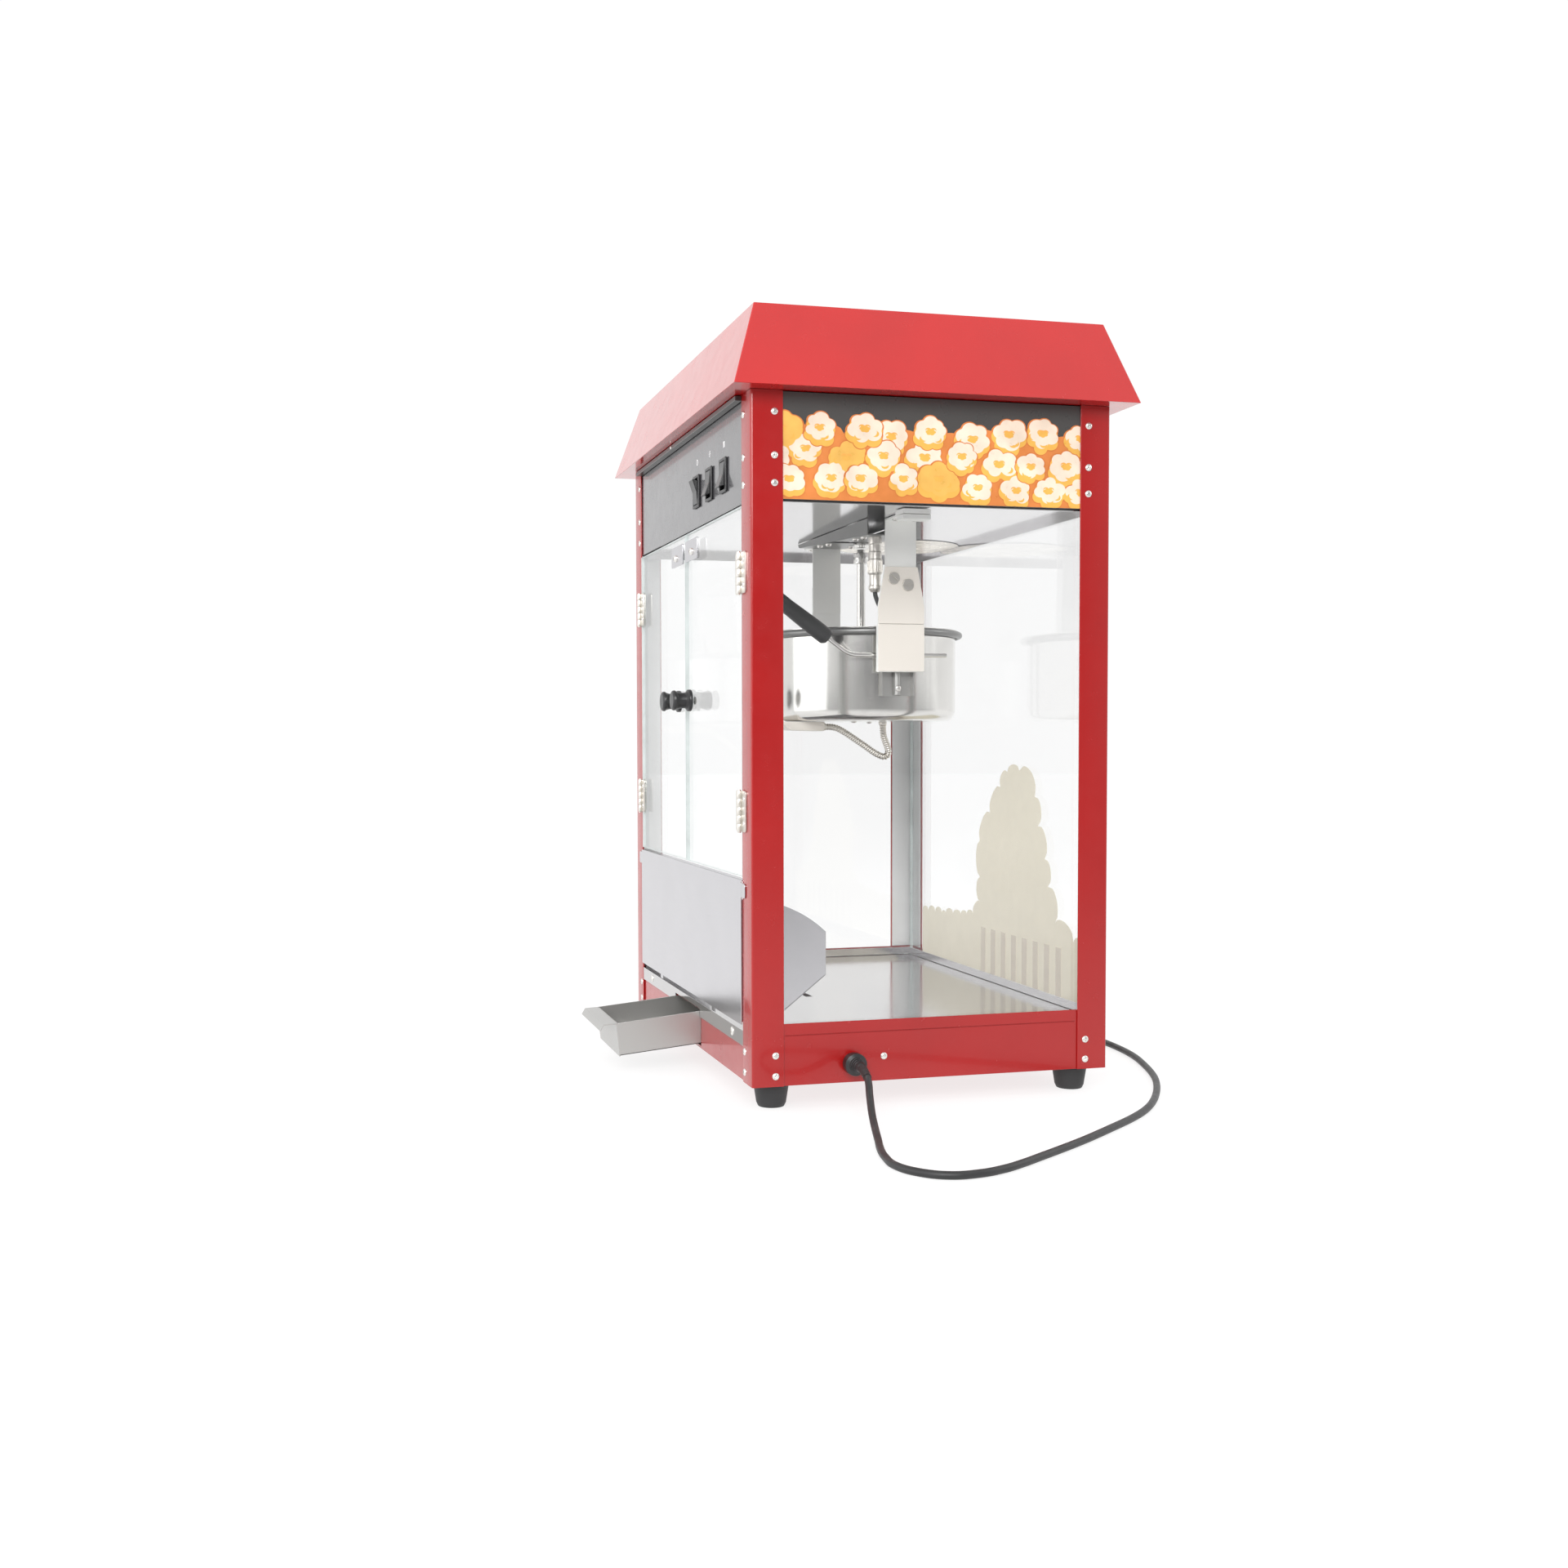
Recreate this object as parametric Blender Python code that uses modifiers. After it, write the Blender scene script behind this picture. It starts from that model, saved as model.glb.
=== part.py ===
"""Countertop popcorn machine: red sheet cabinet, glass on three sides, a pair of doors and a
tilting flap on the operator's side, and a tilting kettle hung from the ceiling.

Metres, +Z up. The operator stands at -Y, the customers at +Y, and the mains cord leaves at +X.
Everything is drawn about the middle of the cabinet's footprint and then hung on one empty, which
moves the origin to the middle of the whole object's footprint, open drawer included.
"""
import math

import bmesh
import bpy
from mathutils import Matrix, Vector

# Cabinet
WIDTH = 0.516            # over the corner posts, along X
DEPTH = 0.373            # over the corner posts, along Y
FOOT = 0.024             # height of a foot, and of the frame's lower edge
POST_TOP = 0.687
POST_LEG = 0.032
SHEET = 0.0015           # folded steel
GAP = 0.0003             # between touching pieces
PANE = 0.004             # acrylic and glass
LIP_LEVEL = 0.060        # levels are heights above the frame's lower edge
SEAM_LEVEL = 0.048
DECK_LEVEL = 0.0495
STRIP_LEVEL = 0.0345
HEADER_LEVEL = 0.561
CEILING_Z = 0.590

# Roof
ROOF_WIDTH = 0.560
ROOF_DEPTH = 0.417
ROOF_TOP = 0.769
ROOF_RAKE = 0.027

# Doors, flap and drawer
DOOR_BOTTOM_LEVEL = 0.200
DOOR_TOP_LEVEL = 0.558
HINGE_LEVELS = (0.264, 0.4935)
HINGE_HEIGHT = 0.040
BARREL_RADIUS = 0.0024
KNOB_OFFSET = 0.024
KNOB_Z = 0.400
FLAP_BOTTOM_LEVEL = 0.0555
FLAP_TOP_LEVEL = 0.197
FLAP_HINGE_LEVEL = 0.053
FLAP_RADIUS = 0.125
DRAWER_WIDTH = 0.109
DRAWER_LENGTH = 0.135
DRAWER_HEIGHT = 0.035
DRAWER_LEVEL = 0.0054    # of its underside where it crosses the slot's lower edge
DRAWER_OUT = 0.0885      # how far it stands open
DRAWER_DROOP = math.radians(5.7)

# Kettle
KETTLE_Y = 0.0185
KETTLE_RADIUS = 0.105
RIM_RADIUS = 0.1126
KETTLE_BOTTOM = 0.377
KETTLE_RIM = 0.476
PIVOT_Z = 0.438
ROD_X = 0.1105
ROD_Z = 0.4465
HANGER_X = 0.119
HANGER_PLATES = {
    "right": [(-0.026, 0.428), (0.026, 0.428), (0.026, 0.497), (0.0183, 0.539),
              (-0.0183, 0.539), (-0.026, 0.497)],
    "left": [(-0.0177, 0.428), (0.0177, 0.428), (0.0177, 0.539), (-0.0177, 0.539)],
}
SHAFT_RADIUS = 0.00475

# Switches
SWITCH_XS = (0.0485, 0.101, 0.1565)
SWITCH_LEVEL = 0.598
ROCKER_TILT = math.radians(12)

# Cord
CORD_RADIUS = 0.0035
GLAND_Y = -0.0845
GLAND_Z = 0.043
COIL_Y = 0.258
PLUG_X = -0.1383          # of the plug's front face
PLUG_Z = 0.0194

RIGHT = WIDTH / 2
FRONT = -DEPTH / 2
REAR = DEPTH / 2
LIP_TIP = (0.0186, 0.0295)    # of the drawer's handle, before its plate and above its floor
FRONT_REACH = ((DRAWER_OUT + LIP_TIP[0]) * math.cos(DRAWER_DROOP)
               + LIP_TIP[1] * math.sin(DRAWER_DROOP))
ORIGIN_SHIFT = (FRONT_REACH + DEPTH / 2 - ROOF_DEPTH / 2) / 2


def level(height):
    """World height of a level above the frame's lower edge."""
    return FOOT + height


def new_collection(name):
    collection = bpy.data.collections.new(name)
    bpy.context.scene.collection.children.link(collection)
    return collection


for old in list(bpy.data.objects):
    bpy.data.objects.remove(old, do_unlink=True)
PARTS = new_collection("popcorn_maker")
CUTTERS = new_collection("cutters")


def new_material(name, colour, roughness, metallic=0.0, transmission=0.0):
    mat = bpy.data.materials.new(name)
    mat.use_nodes = True
    shader = mat.node_tree.nodes["Principled BSDF"]
    shader.inputs["Base Color"].default_value = (*colour, 1.0)
    shader.inputs["Roughness"].default_value = roughness
    shader.inputs["Metallic"].default_value = metallic
    shader.inputs["Transmission Weight"].default_value = transmission
    mat.diffuse_color = (*colour, 1.0)
    return mat


RED = new_material("red_paint", (0.55, 0.012, 0.012), 0.25)
BLACK_PAINT = new_material("black_paint", (0.02, 0.02, 0.022), 0.4)
STEEL = new_material("stainless_steel", (0.62, 0.61, 0.59), 0.22, 1.0)
POLISHED = new_material("polished_steel", (0.72, 0.71, 0.69), 0.1, 1.0)
DARK_STEEL = new_material("dark_steel", (0.2, 0.2, 0.2), 0.35, 1.0)
GALVANISED = new_material("galvanised_steel", (0.45, 0.47, 0.48), 0.4, 1.0)
NICKEL = new_material("nickel_plate", (0.66, 0.63, 0.57), 0.25, 1.0)
CLEAR = new_material("clear_pane", (0.95, 0.97, 0.97), 0.03, 0.0, 1.0)
BLACK_PLASTIC = new_material("black_plastic", (0.015, 0.015, 0.016), 0.35)
RUBBER = new_material("black_rubber", (0.02, 0.02, 0.02), 0.6)
WARM_GLASS = new_material("lamp_glass", (1.0, 0.9, 0.7), 0.2, 0.0, 0.6)


def mesh_object(name, mesh, place, mat, collection=PARTS):
    obj = bpy.data.objects.new(name, mesh)
    obj.location = place
    collection.objects.link(obj)
    if mat:
        mesh.materials.append(mat)
    return obj


def box(name, xs, ys, zs, mat=None, collection=PARTS):
    """A box between two corners, with its origin in its middle."""
    middle = Vector([(a + b) / 2 for a, b in (xs, ys, zs)])
    bm = bmesh.new()
    bmesh.ops.create_cube(bm, size=1.0)
    bmesh.ops.scale(bm, vec=[abs(b - a) for a, b in (xs, ys, zs)], verts=bm.verts)
    mesh = bpy.data.meshes.new(name)
    bm.to_mesh(mesh)
    bm.free()
    return mesh_object(name, mesh, middle, mat, collection)


def cylinder(name, radius, length, place, axis="Z", mat=None, collection=PARTS, sides=32):
    bm = bmesh.new()
    bmesh.ops.create_cone(bm, cap_ends=True, segments=sides, radius1=radius, radius2=radius,
                          depth=length)
    if axis == "X":
        bmesh.ops.rotate(bm, verts=bm.verts, matrix=Matrix.Rotation(math.pi / 2, 3, "Y"))
    if axis == "Y":
        bmesh.ops.rotate(bm, verts=bm.verts, matrix=Matrix.Rotation(math.pi / 2, 3, "X"))
    mesh = bpy.data.meshes.new(name)
    bm.to_mesh(mesh)
    bm.free()
    smooth(mesh)
    return mesh_object(name, mesh, place, mat, collection)


def smooth(mesh):
    mesh.shade_smooth()
    mesh.set_sharp_from_angle(angle=math.radians(40))


def turned(name, profile, place, mat, sides=32, turn=None, collection=PARTS):
    """A profile of (radius, height) points turned about Z.

    The outer side runs from top to bottom. A profile that stays off the axis is closed.
    """
    mesh = bpy.data.meshes.new(name)
    edges = [(i, i + 1) for i in range(len(profile) - 1)]
    if profile[0][0] > 0 and profile[-1][0] > 0:
        edges.append((len(profile) - 1, 0))
    mesh.from_pydata([(r, 0.0, z) for r, z in profile], edges, [])
    obj = mesh_object(name, mesh, place, mat, collection)
    screw = obj.modifiers.new("turn", "SCREW")
    screw.steps = sides
    screw.render_steps = sides
    screw.use_merge_vertices = True
    screw.merge_threshold = 1e-5
    screw.use_smooth_shade = True
    if turn:
        obj.rotation_euler = turn
    return obj


def solid_from_curve(obj):
    """Replace a curve object by its welded mesh, in the same place."""
    bpy.context.view_layer.update()
    depsgraph = bpy.context.evaluated_depsgraph_get()
    mesh = bpy.data.meshes.new_from_object(obj.evaluated_get(depsgraph))
    bm = bmesh.new()
    bm.from_mesh(mesh)
    bmesh.ops.remove_doubles(bm, verts=bm.verts, dist=1e-5)
    bmesh.ops.recalc_face_normals(bm, faces=bm.faces)
    bm.to_mesh(mesh)
    bm.free()
    name = obj.name
    collection = obj.users_collection[0]
    matrix = obj.matrix_world.copy()
    curve = obj.data
    bpy.data.objects.remove(obj, do_unlink=True)
    bpy.data.curves.remove(curve)
    solid = bpy.data.objects.new(name, mesh)
    solid.matrix_world = matrix
    collection.objects.link(solid)
    return solid


def outline(name, points, thickness, place, plane, mat=None, collection=PARTS):
    """A flat outline of (a, b) points, extruded to a thickness about its own plane.

    plane "XY" keeps a along X and b along Y; "YZ" lays a along Y and b along Z; "XZ" lays
    a along X and b along Z.
    """
    curve = bpy.data.curves.new(name, "CURVE")
    curve.dimensions = "2D"
    curve.fill_mode = "BOTH"
    curve.extrude = thickness / 2
    spline = curve.splines.new("POLY")
    spline.points.add(len(points) - 1)
    for point, (a, b) in zip(spline.points, points):
        point.co = (a, b, 0.0, 1.0)
    spline.use_cyclic_u = True
    obj = bpy.data.objects.new(name, curve)
    obj.location = place
    if plane == "YZ":
        obj.rotation_euler = (math.pi / 2, 0.0, math.pi / 2)
    if plane == "XZ":
        obj.rotation_euler = (math.pi / 2, 0.0, 0.0)
    collection.objects.link(obj)
    if mat:
        curve.materials.append(mat)
    return solid_from_curve(obj)


def tube(name, points, radius, mat, collection=PARTS, resolution=2):
    curve = bpy.data.curves.new(name, "CURVE")
    curve.dimensions = "3D"
    curve.bevel_depth = radius
    curve.bevel_resolution = resolution
    curve.use_fill_caps = True
    spline = curve.splines.new("POLY")
    spline.points.add(len(points) - 1)
    start = Vector(points[0])
    for point, co in zip(spline.points, points):
        point.co = (*(Vector(co) - start), 1.0)
    obj = bpy.data.objects.new(name, curve)
    obj.location = start
    collection.objects.link(obj)
    if mat:
        curve.materials.append(mat)
    return obj


def combine(target, tool, operation):
    """Join or cut the target with a tool that stays hidden under it."""
    bpy.context.view_layer.update()
    matrix = target.matrix_world.inverted() @ tool.matrix_world
    tool.parent = target
    tool.matrix_basis = matrix
    tool.hide_render = True
    tool.display_type = "WIRE"
    modifier = target.modifiers.new(tool.name, "BOOLEAN")
    modifier.operation = operation
    modifier.solver = "EXACT"
    modifier.object = tool
    return target


def cut(target, *tools):
    for tool in tools:
        combine(target, tool, "DIFFERENCE")
    return target


def join(target, *tools):
    for tool in tools:
        combine(target, tool, "UNION")
    return target


def cut_box(name, xs, ys, zs):
    return box(name, xs, ys, zs, collection=CUTTERS)


def spaced(points, step):
    """Evenly spaced points along a smooth curve through the given points."""
    ends = [Vector(points[0]) * 2 - Vector(points[1])]
    tail = [Vector(points[-1]) * 2 - Vector(points[-2])]
    knots = ends + [Vector(p) for p in points] + tail
    dense = []
    for i in range(1, len(knots) - 2):
        a, b, c, d = knots[i - 1:i + 3]
        for k in range(40):
            t = k / 40
            dense.append(0.5 * (2 * b + (c - a) * t + (2 * a - 5 * b + 4 * c - d) * t * t
                                + (3 * b - a - 3 * c + d) * t ** 3))
    dense.append(knots[-2])
    lengths = [0.0]
    for p, q in zip(dense, dense[1:]):
        lengths.append(lengths[-1] + (q - p).length)
    count = max(2, round(lengths[-1] / step))
    result = []
    j = 0
    for i in range(count + 1):
        wanted = lengths[-1] * i / count
        while j < len(lengths) - 2 and lengths[j + 1] < wanted:
            j += 1
        t = (wanted - lengths[j]) / (lengths[j + 1] - lengths[j])
        result.append(dense[j].lerp(dense[j + 1], t))
    return result


SIDES = {"right": 1, "left": -1}
CORNERS = {
    "front_right": (1, -1),
    "front_left": (-1, -1),
    "rear_right": (1, 1),
    "rear_left": (-1, 1),
}


def span(sign, a, b):
    """The same stretch of an axis on either side of zero, lowest value first."""
    return tuple(sorted((sign * a, sign * b)))


# Frame ---------------------------------------------------------------------------------------

def make_corner_posts():
    for name, (sx, sy) in CORNERS.items():
        leg = [(0, 0), (POST_LEG, 0), (POST_LEG, SHEET), (SHEET, SHEET), (SHEET, POST_LEG),
               (0, POST_LEG)]
        points = [(sx * (RIGHT - a), sy * (REAR - b)) for a, b in leg]
        if sx * sy < 0:
            points.reverse()
        outline("corner_post_" + name, points, POST_TOP - FOOT, (0, 0, (POST_TOP + FOOT) / 2),
                "XY", RED)


def make_base():
    """Open-topped tray with a drawer slot, a cord hole and a seam below its side lips."""
    outer_x = RIGHT - SHEET - GAP
    outer_y = REAR - SHEET - GAP
    base = box("base_housing", (-outer_x, outer_x), (-outer_y, outer_y), (FOOT, level(LIP_LEVEL)),
               RED)
    inner_x = outer_x - SHEET
    inner_y = outer_y - SHEET
    front_top = DECK_LEVEL - 2 * SHEET
    cut(base,
        cut_box("base_hollow", (-inner_x, inner_x), (-inner_y, inner_y), (level(SHEET), 0.2)),
        cut_box("base_front_step", (-0.3, 0.3), (-0.3, -inner_y), (level(front_top), 0.2)),
        cut_box("drawer_slot", (-0.0555, 0.0555), (-0.3, -inner_y + 0.01),
                (level(0.0029), level(0.042))),
        cylinder("cord_hole", 0.0083, 0.02, (outer_x, GLAND_Y, GLAND_Z), "X",
                 collection=CUTTERS, sides=24))
    for name, sign in SIDES.items():
        cut(base, cut_box("seam_" + name, span(sign, outer_x - 0.0006, 0.3),
                          (FRONT + POST_LEG + 0.002, REAR - POST_LEG - 0.002),
                          (level(SEAM_LEVEL), level(SEAM_LEVEL + 0.0008))))
    return base


def make_deck():
    """Stainless deck with a strip folded down in front and slots over the drawer."""
    edge_x = RIGHT - 2 * SHEET - 2 * GAP
    edge_y = REAR - 2 * SHEET - 2 * GAP
    strip_x = RIGHT - POST_LEG - GAP
    top = level(DECK_LEVEL)
    under = top - 0.0012
    deck = box("deck_tray", (-edge_x, edge_x), (FRONT + SHEET + GAP, edge_y), (under, top), STEEL)
    join(deck,
         box("strip_fold", (-strip_x, strip_x), (FRONT + GAP, FRONT + 0.004), (under, top),
             collection=CUTTERS),
         box("strip", (-strip_x, strip_x), (FRONT + GAP, FRONT + GAP + 0.0012),
             (level(STRIP_LEVEL), top), collection=CUTTERS))
    cut(deck, cut_box("strip_notch", (-0.0555, 0.0555), (-0.3, FRONT + SHEET + GAP / 2),
                      (0, level(0.0435))))
    for row in range(5):
        y = FRONT + 0.060 + row * 0.016
        for side in (-1, 1):
            cut(deck, cut_box("sieve_slot", span(side, 0.004, 0.046), (y, y + 0.0075),
                              (under - 0.01, top + 0.01)))
    return deck


def make_deck_heater():
    """Flat warming element under the deck, behind the drawer."""
    top = level(DECK_LEVEL) - 0.0012 - GAP
    heater = box("deck_heater", (-0.11, 0.11), (-0.012, 0.10), (top - 0.004, top), DARK_STEEL)
    join(heater, box("heater_terminals", (0.09, 0.105), (-0.03, -0.010), (top - 0.0035, top - 0.001),
                     collection=CUTTERS))


def make_feet():
    for name, (sx, sy) in CORNERS.items():
        profile = [(0, FOOT - GAP), (0.0150, FOOT - GAP), (0.0155, FOOT - 0.002), (0.0133, 0.004),
                   (0.0120, 0.001), (0.0105, 0), (0, 0)]
        turned("foot_" + name, profile, (sx * (RIGHT - 0.027), sy * (REAR - 0.027), 0), RUBBER,
               sides=24)


def make_panes():
    """The two side panes and the customer's pane stand on the deck behind the lips."""
    bottom = level(DECK_LEVEL) + GAP
    top = CEILING_Z - 0.0012
    face = RIGHT - 2 * SHEET - 2 * GAP
    for name, sign in SIDES.items():
        box("side_glass_" + name, span(sign, face - PANE, face), (FRONT + 0.006, REAR - 0.006),
            (bottom, top), CLEAR)
    rear_face = REAR - 2 * SHEET - 2 * GAP
    box("rear_glass", (-face + PANE + GAP, face - PANE - GAP), (rear_face - PANE, rear_face),
        (bottom, top), CLEAR)


def make_header_panels():
    """Panels round the ceiling compartment, held behind the legs of the posts."""
    bottom = level(HEADER_LEVEL)
    top = POST_TOP - 2 * GAP
    outer_x = RIGHT - SHEET - GAP
    outer_y = REAR - SHEET - GAP
    for name, sign in SIDES.items():
        box("header_panel_" + name, span(sign, outer_x - SHEET, outer_x), (-outer_y, outer_y),
            (bottom, top), BLACK_PAINT)
    reach = outer_x - SHEET - GAP
    box("header_panel_rear", (-reach, reach), (outer_y - SHEET, outer_y), (bottom, top),
        BLACK_PAINT)
    panel = box("control_panel", (-reach, reach), (-outer_y, -outer_y + SHEET), (bottom, top),
                BLACK_PAINT)
    for x in SWITCH_XS:
        cut(panel, cut_box("switch_cutout", (x - 0.0103, x + 0.0103), (-0.3, -0.1),
                           (level(SWITCH_LEVEL - 0.0153), level(SWITCH_LEVEL + 0.0153))))


def make_ceiling():
    edge_x = RIGHT - 2 * SHEET - 2 * GAP
    edge_y = REAR - 2 * SHEET - 2 * GAP
    ceiling = box("ceiling_plate", (-edge_x, edge_x), (-edge_y, edge_y),
                  (CEILING_Z, CEILING_Z + 0.0012), STEEL)
    cut(ceiling,
        cylinder("spindle_hole", 0.006, 0.01, (0, KETTLE_Y, CEILING_Z), collection=CUTTERS,
                 sides=16),
        cylinder("lamp_hole", 0.032, 0.01, (-0.12, 0.09, CEILING_Z), collection=CUTTERS, sides=24))


def pyramid(name, width, depth, bottom, top, rake, collection, mat=None):
    """Box whose top is smaller by the rake on every side."""
    obj = box(name, (-width / 2, width / 2), (-depth / 2, depth / 2), (bottom, top), mat,
              collection)
    for vert in obj.data.vertices:
        if vert.co.z > 0:
            vert.co.x -= math.copysign(rake, vert.co.x)
            vert.co.y -= math.copysign(rake, vert.co.y)
    return obj


def make_roof():
    eave = POST_TOP + GAP
    roof = pyramid("roof", ROOF_WIDTH, ROOF_DEPTH, eave, ROOF_TOP, ROOF_RAKE, PARTS, RED)
    cut(roof,
        pyramid("roof_hollow", ROOF_WIDTH - 0.0032, ROOF_DEPTH - 0.0032, eave + SHEET,
                ROOF_TOP - SHEET, ROOF_RAKE, CUTTERS),
        cut_box("roof_mouth", (-0.236, 0.236), (-0.1645, 0.1645), (eave - 0.01, eave + 0.02)))


# Doors, flap and drawer ----------------------------------------------------------------------

def make_doors():
    """Each door turns about the barrels of its hinges, in front of the posts' faces."""
    barrel_x = RIGHT - POST_LEG - 0.0002
    barrel_y = FRONT - 0.0030
    for name, sign in SIDES.items():
        axis = Vector((sign * barrel_x, barrel_y, 0))
        door = box("door_" + name, span(sign, 0.0008, barrel_x - 0.0003), (FRONT, FRONT + PANE),
                   (level(DOOR_BOTTOM_LEVEL), level(DOOR_TOP_LEVEL)), CLEAR)
        shape = [(0, 0.0220), (0.0088, 0.0220), (0.0105, 0.0205), (0.0110, 0.0185), (0.0094, 0.0165),
                 (0.0088, 0.0130), (0.0086, 0.0060), (0.0118, 0.0040), (0.0120, GAP), (0, GAP)]
        knob = turned("door_knob_" + name, shape, (sign * KNOB_OFFSET, FRONT, KNOB_Z),
                      BLACK_PLASTIC, sides=24, turn=(math.pi / 2, 0, 0))
        hang("door_axis_" + name, axis, door, knob)
        for place, height in zip(("lower", "upper"), HINGE_LEVELS):
            z = level(height)
            hinge = cylinder("hinge_%s_%s" % (name, place), BARREL_RADIUS, HINGE_HEIGHT,
                             (axis.x, axis.y, z), mat=NICKEL, sides=16)
            join(hinge, box("leaf", span(sign, barrel_x + 0.0004, barrel_x + 0.0170),
                            (FRONT - 0.0015, FRONT - GAP),
                            (z - HINGE_HEIGHT / 2 + 0.0002, z + HINGE_HEIGHT / 2 - 0.0002),
                            collection=CUTTERS))


def hang(name, place, *children):
    """An empty on a joint's axis that carries the pieces turning or sliding about it."""
    empty = bpy.data.objects.new(name, None)
    empty.location = place
    PARTS.objects.link(empty)
    for child in children:
        child.parent = empty
        child.location = child.location - empty.location
    return empty


def make_flap():
    """Tilting chute: a plate with stop tabs, a folded top, and two curved cheeks inside."""
    half = RIGHT - POST_LEG - 0.0010
    face = (FRONT - 0.0015, FRONT - GAP)
    bottom = level(FLAP_BOTTOM_LEVEL)
    top = level(FLAP_TOP_LEVEL)
    flap = box("front_flap", (-half, half), face, (bottom, top), STEEL)
    join(flap, box("flap_hem", (-half, half), (FRONT - 0.0012, FRONT + 0.008),
                   (top - 0.0012, top - 0.0002), collection=CUTTERS))
    hinge = Vector((FRONT, level(FLAP_HINGE_LEVEL)))
    back = FRONT + 0.086
    turn = math.asin(0.086 / FLAP_RADIUS)
    arc = [hinge + FLAP_RADIUS * Vector((math.sin(turn * i / 8), math.cos(turn * i / 8)))
           for i in range(9)]
    cheek = [(FRONT - 0.0008, arc[0].y)] + [tuple(p) for p in arc]
    cheek += [(back, level(0.101)), (FRONT + 0.043, level(0.067)), (FRONT + 0.012, level(0.058)),
              (FRONT - 0.0008, level(0.058))]
    cheek.reverse()
    fold = [(back - 0.0005, level(0.1006)), (back - 0.0012, level(0.1014)),
            (FRONT + 0.0428, level(0.0686)), (FRONT + 0.0435, level(0.0678))]
    for name, sign in SIDES.items():
        join(flap, outline("cheek_" + name, cheek, 0.0012, (sign * (half - 0.0015), 0, 0), "YZ",
                           collection=CUTTERS))
        join(flap, outline("cheek_fold_" + name, fold, 0.006, (sign * (half - 0.0045), 0, 0), "YZ",
                           collection=CUTTERS))
        join(flap, box("stop_tab_" + name, span(sign, half - 0.002, half + 0.013),
                       (face[0] + 0.0002, face[1]), (level(0.180), level(0.194)),
                       collection=CUTTERS))
    for x in (-0.118, 0.118):
        join(flap, box("flap_tongue", (x - 0.006, x + 0.006), (face[0] + 0.0002, face[1]),
                       (level(0.0512), bottom + 0.001), collection=CUTTERS))
    hang("flap_axis", (0, FRONT, level(FLAP_HINGE_LEVEL)), flap)


def make_drawer():
    """Crumb tray, standing open and sagging over the slot's lower edge."""
    half = DRAWER_WIDTH / 2
    out = -DRAWER_OUT
    tray = box("crumb_drawer", (-half, half), (out, out + DRAWER_LENGTH), (0, DRAWER_HEIGHT),
               STEEL)
    wall = 0.0012
    cut(tray, cut_box("tray_hollow", (-half + wall, half - wall),
                      (out + wall, out + DRAWER_LENGTH - wall), (wall, 0.1)))
    lip = [(out + 0.0010, 0.0346), (out - 0.0134, 0.0346), (out - 0.0176, 0.0288),
           (out - 0.0186, 0.0295), (out - 0.0141, 0.0358), (out + 0.0010, 0.0358)]
    join(tray, outline("drawer_lip", lip, DRAWER_WIDTH - 0.0002, (0, 0, 0), "YZ",
                       collection=CUTTERS))
    join(tray, box("drawer_face", (-half, half), (out - 0.0002, out + wall), (-0.0015, 0.0352),
                   collection=CUTTERS))
    axis = hang("drawer_axis", (0, 0, 0), tray)
    axis.location = (0, FRONT, level(DRAWER_LEVEL))
    axis.rotation_euler = (DRAWER_DROOP, 0, 0)
    floor = level(SHEET) + GAP
    runner = box("drawer_runner", (-0.045, 0.045), (FRONT + 0.010, FRONT + 0.050),
                 (floor, floor + 0.0030), GALVANISED)
    join(runner, box("runner_stop", (-0.045, 0.045), (FRONT + 0.0488, FRONT + 0.050),
                     (floor, floor + 0.012), collection=CUTTERS))


# Kettle --------------------------------------------------------------------------------------

def make_hangers():
    """Strap from the ceiling with a folded plate that takes the kettle's pivot."""
    plate_x = HANGER_X + 0.0013
    for name, sign in SIDES.items():
        strap = box("hanger_" + name, span(sign, HANGER_X, HANGER_X + 0.0016),
                    (KETTLE_Y - 0.0175, KETTLE_Y + 0.0175), (0.508, CEILING_Z - GAP), POLISHED)
        shape = HANGER_PLATES[name]
        shape = [(KETTLE_Y + y, z) for y, z in shape]
        join(strap,
             outline("plate", shape, 0.0016, (sign * (plate_x + 0.0008), 0, 0), "YZ",
                     collection=CUTTERS),
             box("ceiling_flange", span(sign, HANGER_X + 0.0002, HANGER_X + 0.034),
                 (KETTLE_Y - 0.0173, KETTLE_Y + 0.0173), (CEILING_Z - 0.0025, CEILING_Z - 2 * GAP),
                 collection=CUTTERS))
        for side in (-1, 1) if sign > 0 else ():
            edge = KETTLE_Y + side * 0.026
            join(strap, box("return_fold", span(sign, HANGER_X - 0.0030, plate_x + 0.0012),
                            tuple(sorted((edge - side * 0.0014, edge - side * 0.0002))),
                            (0.4284, 0.478), collection=CUTTERS))
        cut(strap, cylinder("pivot_hole", 0.0034, 0.02, (sign * plate_x, KETTLE_Y, PIVOT_Z), "X",
                            collection=CUTTERS, sides=16))


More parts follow.
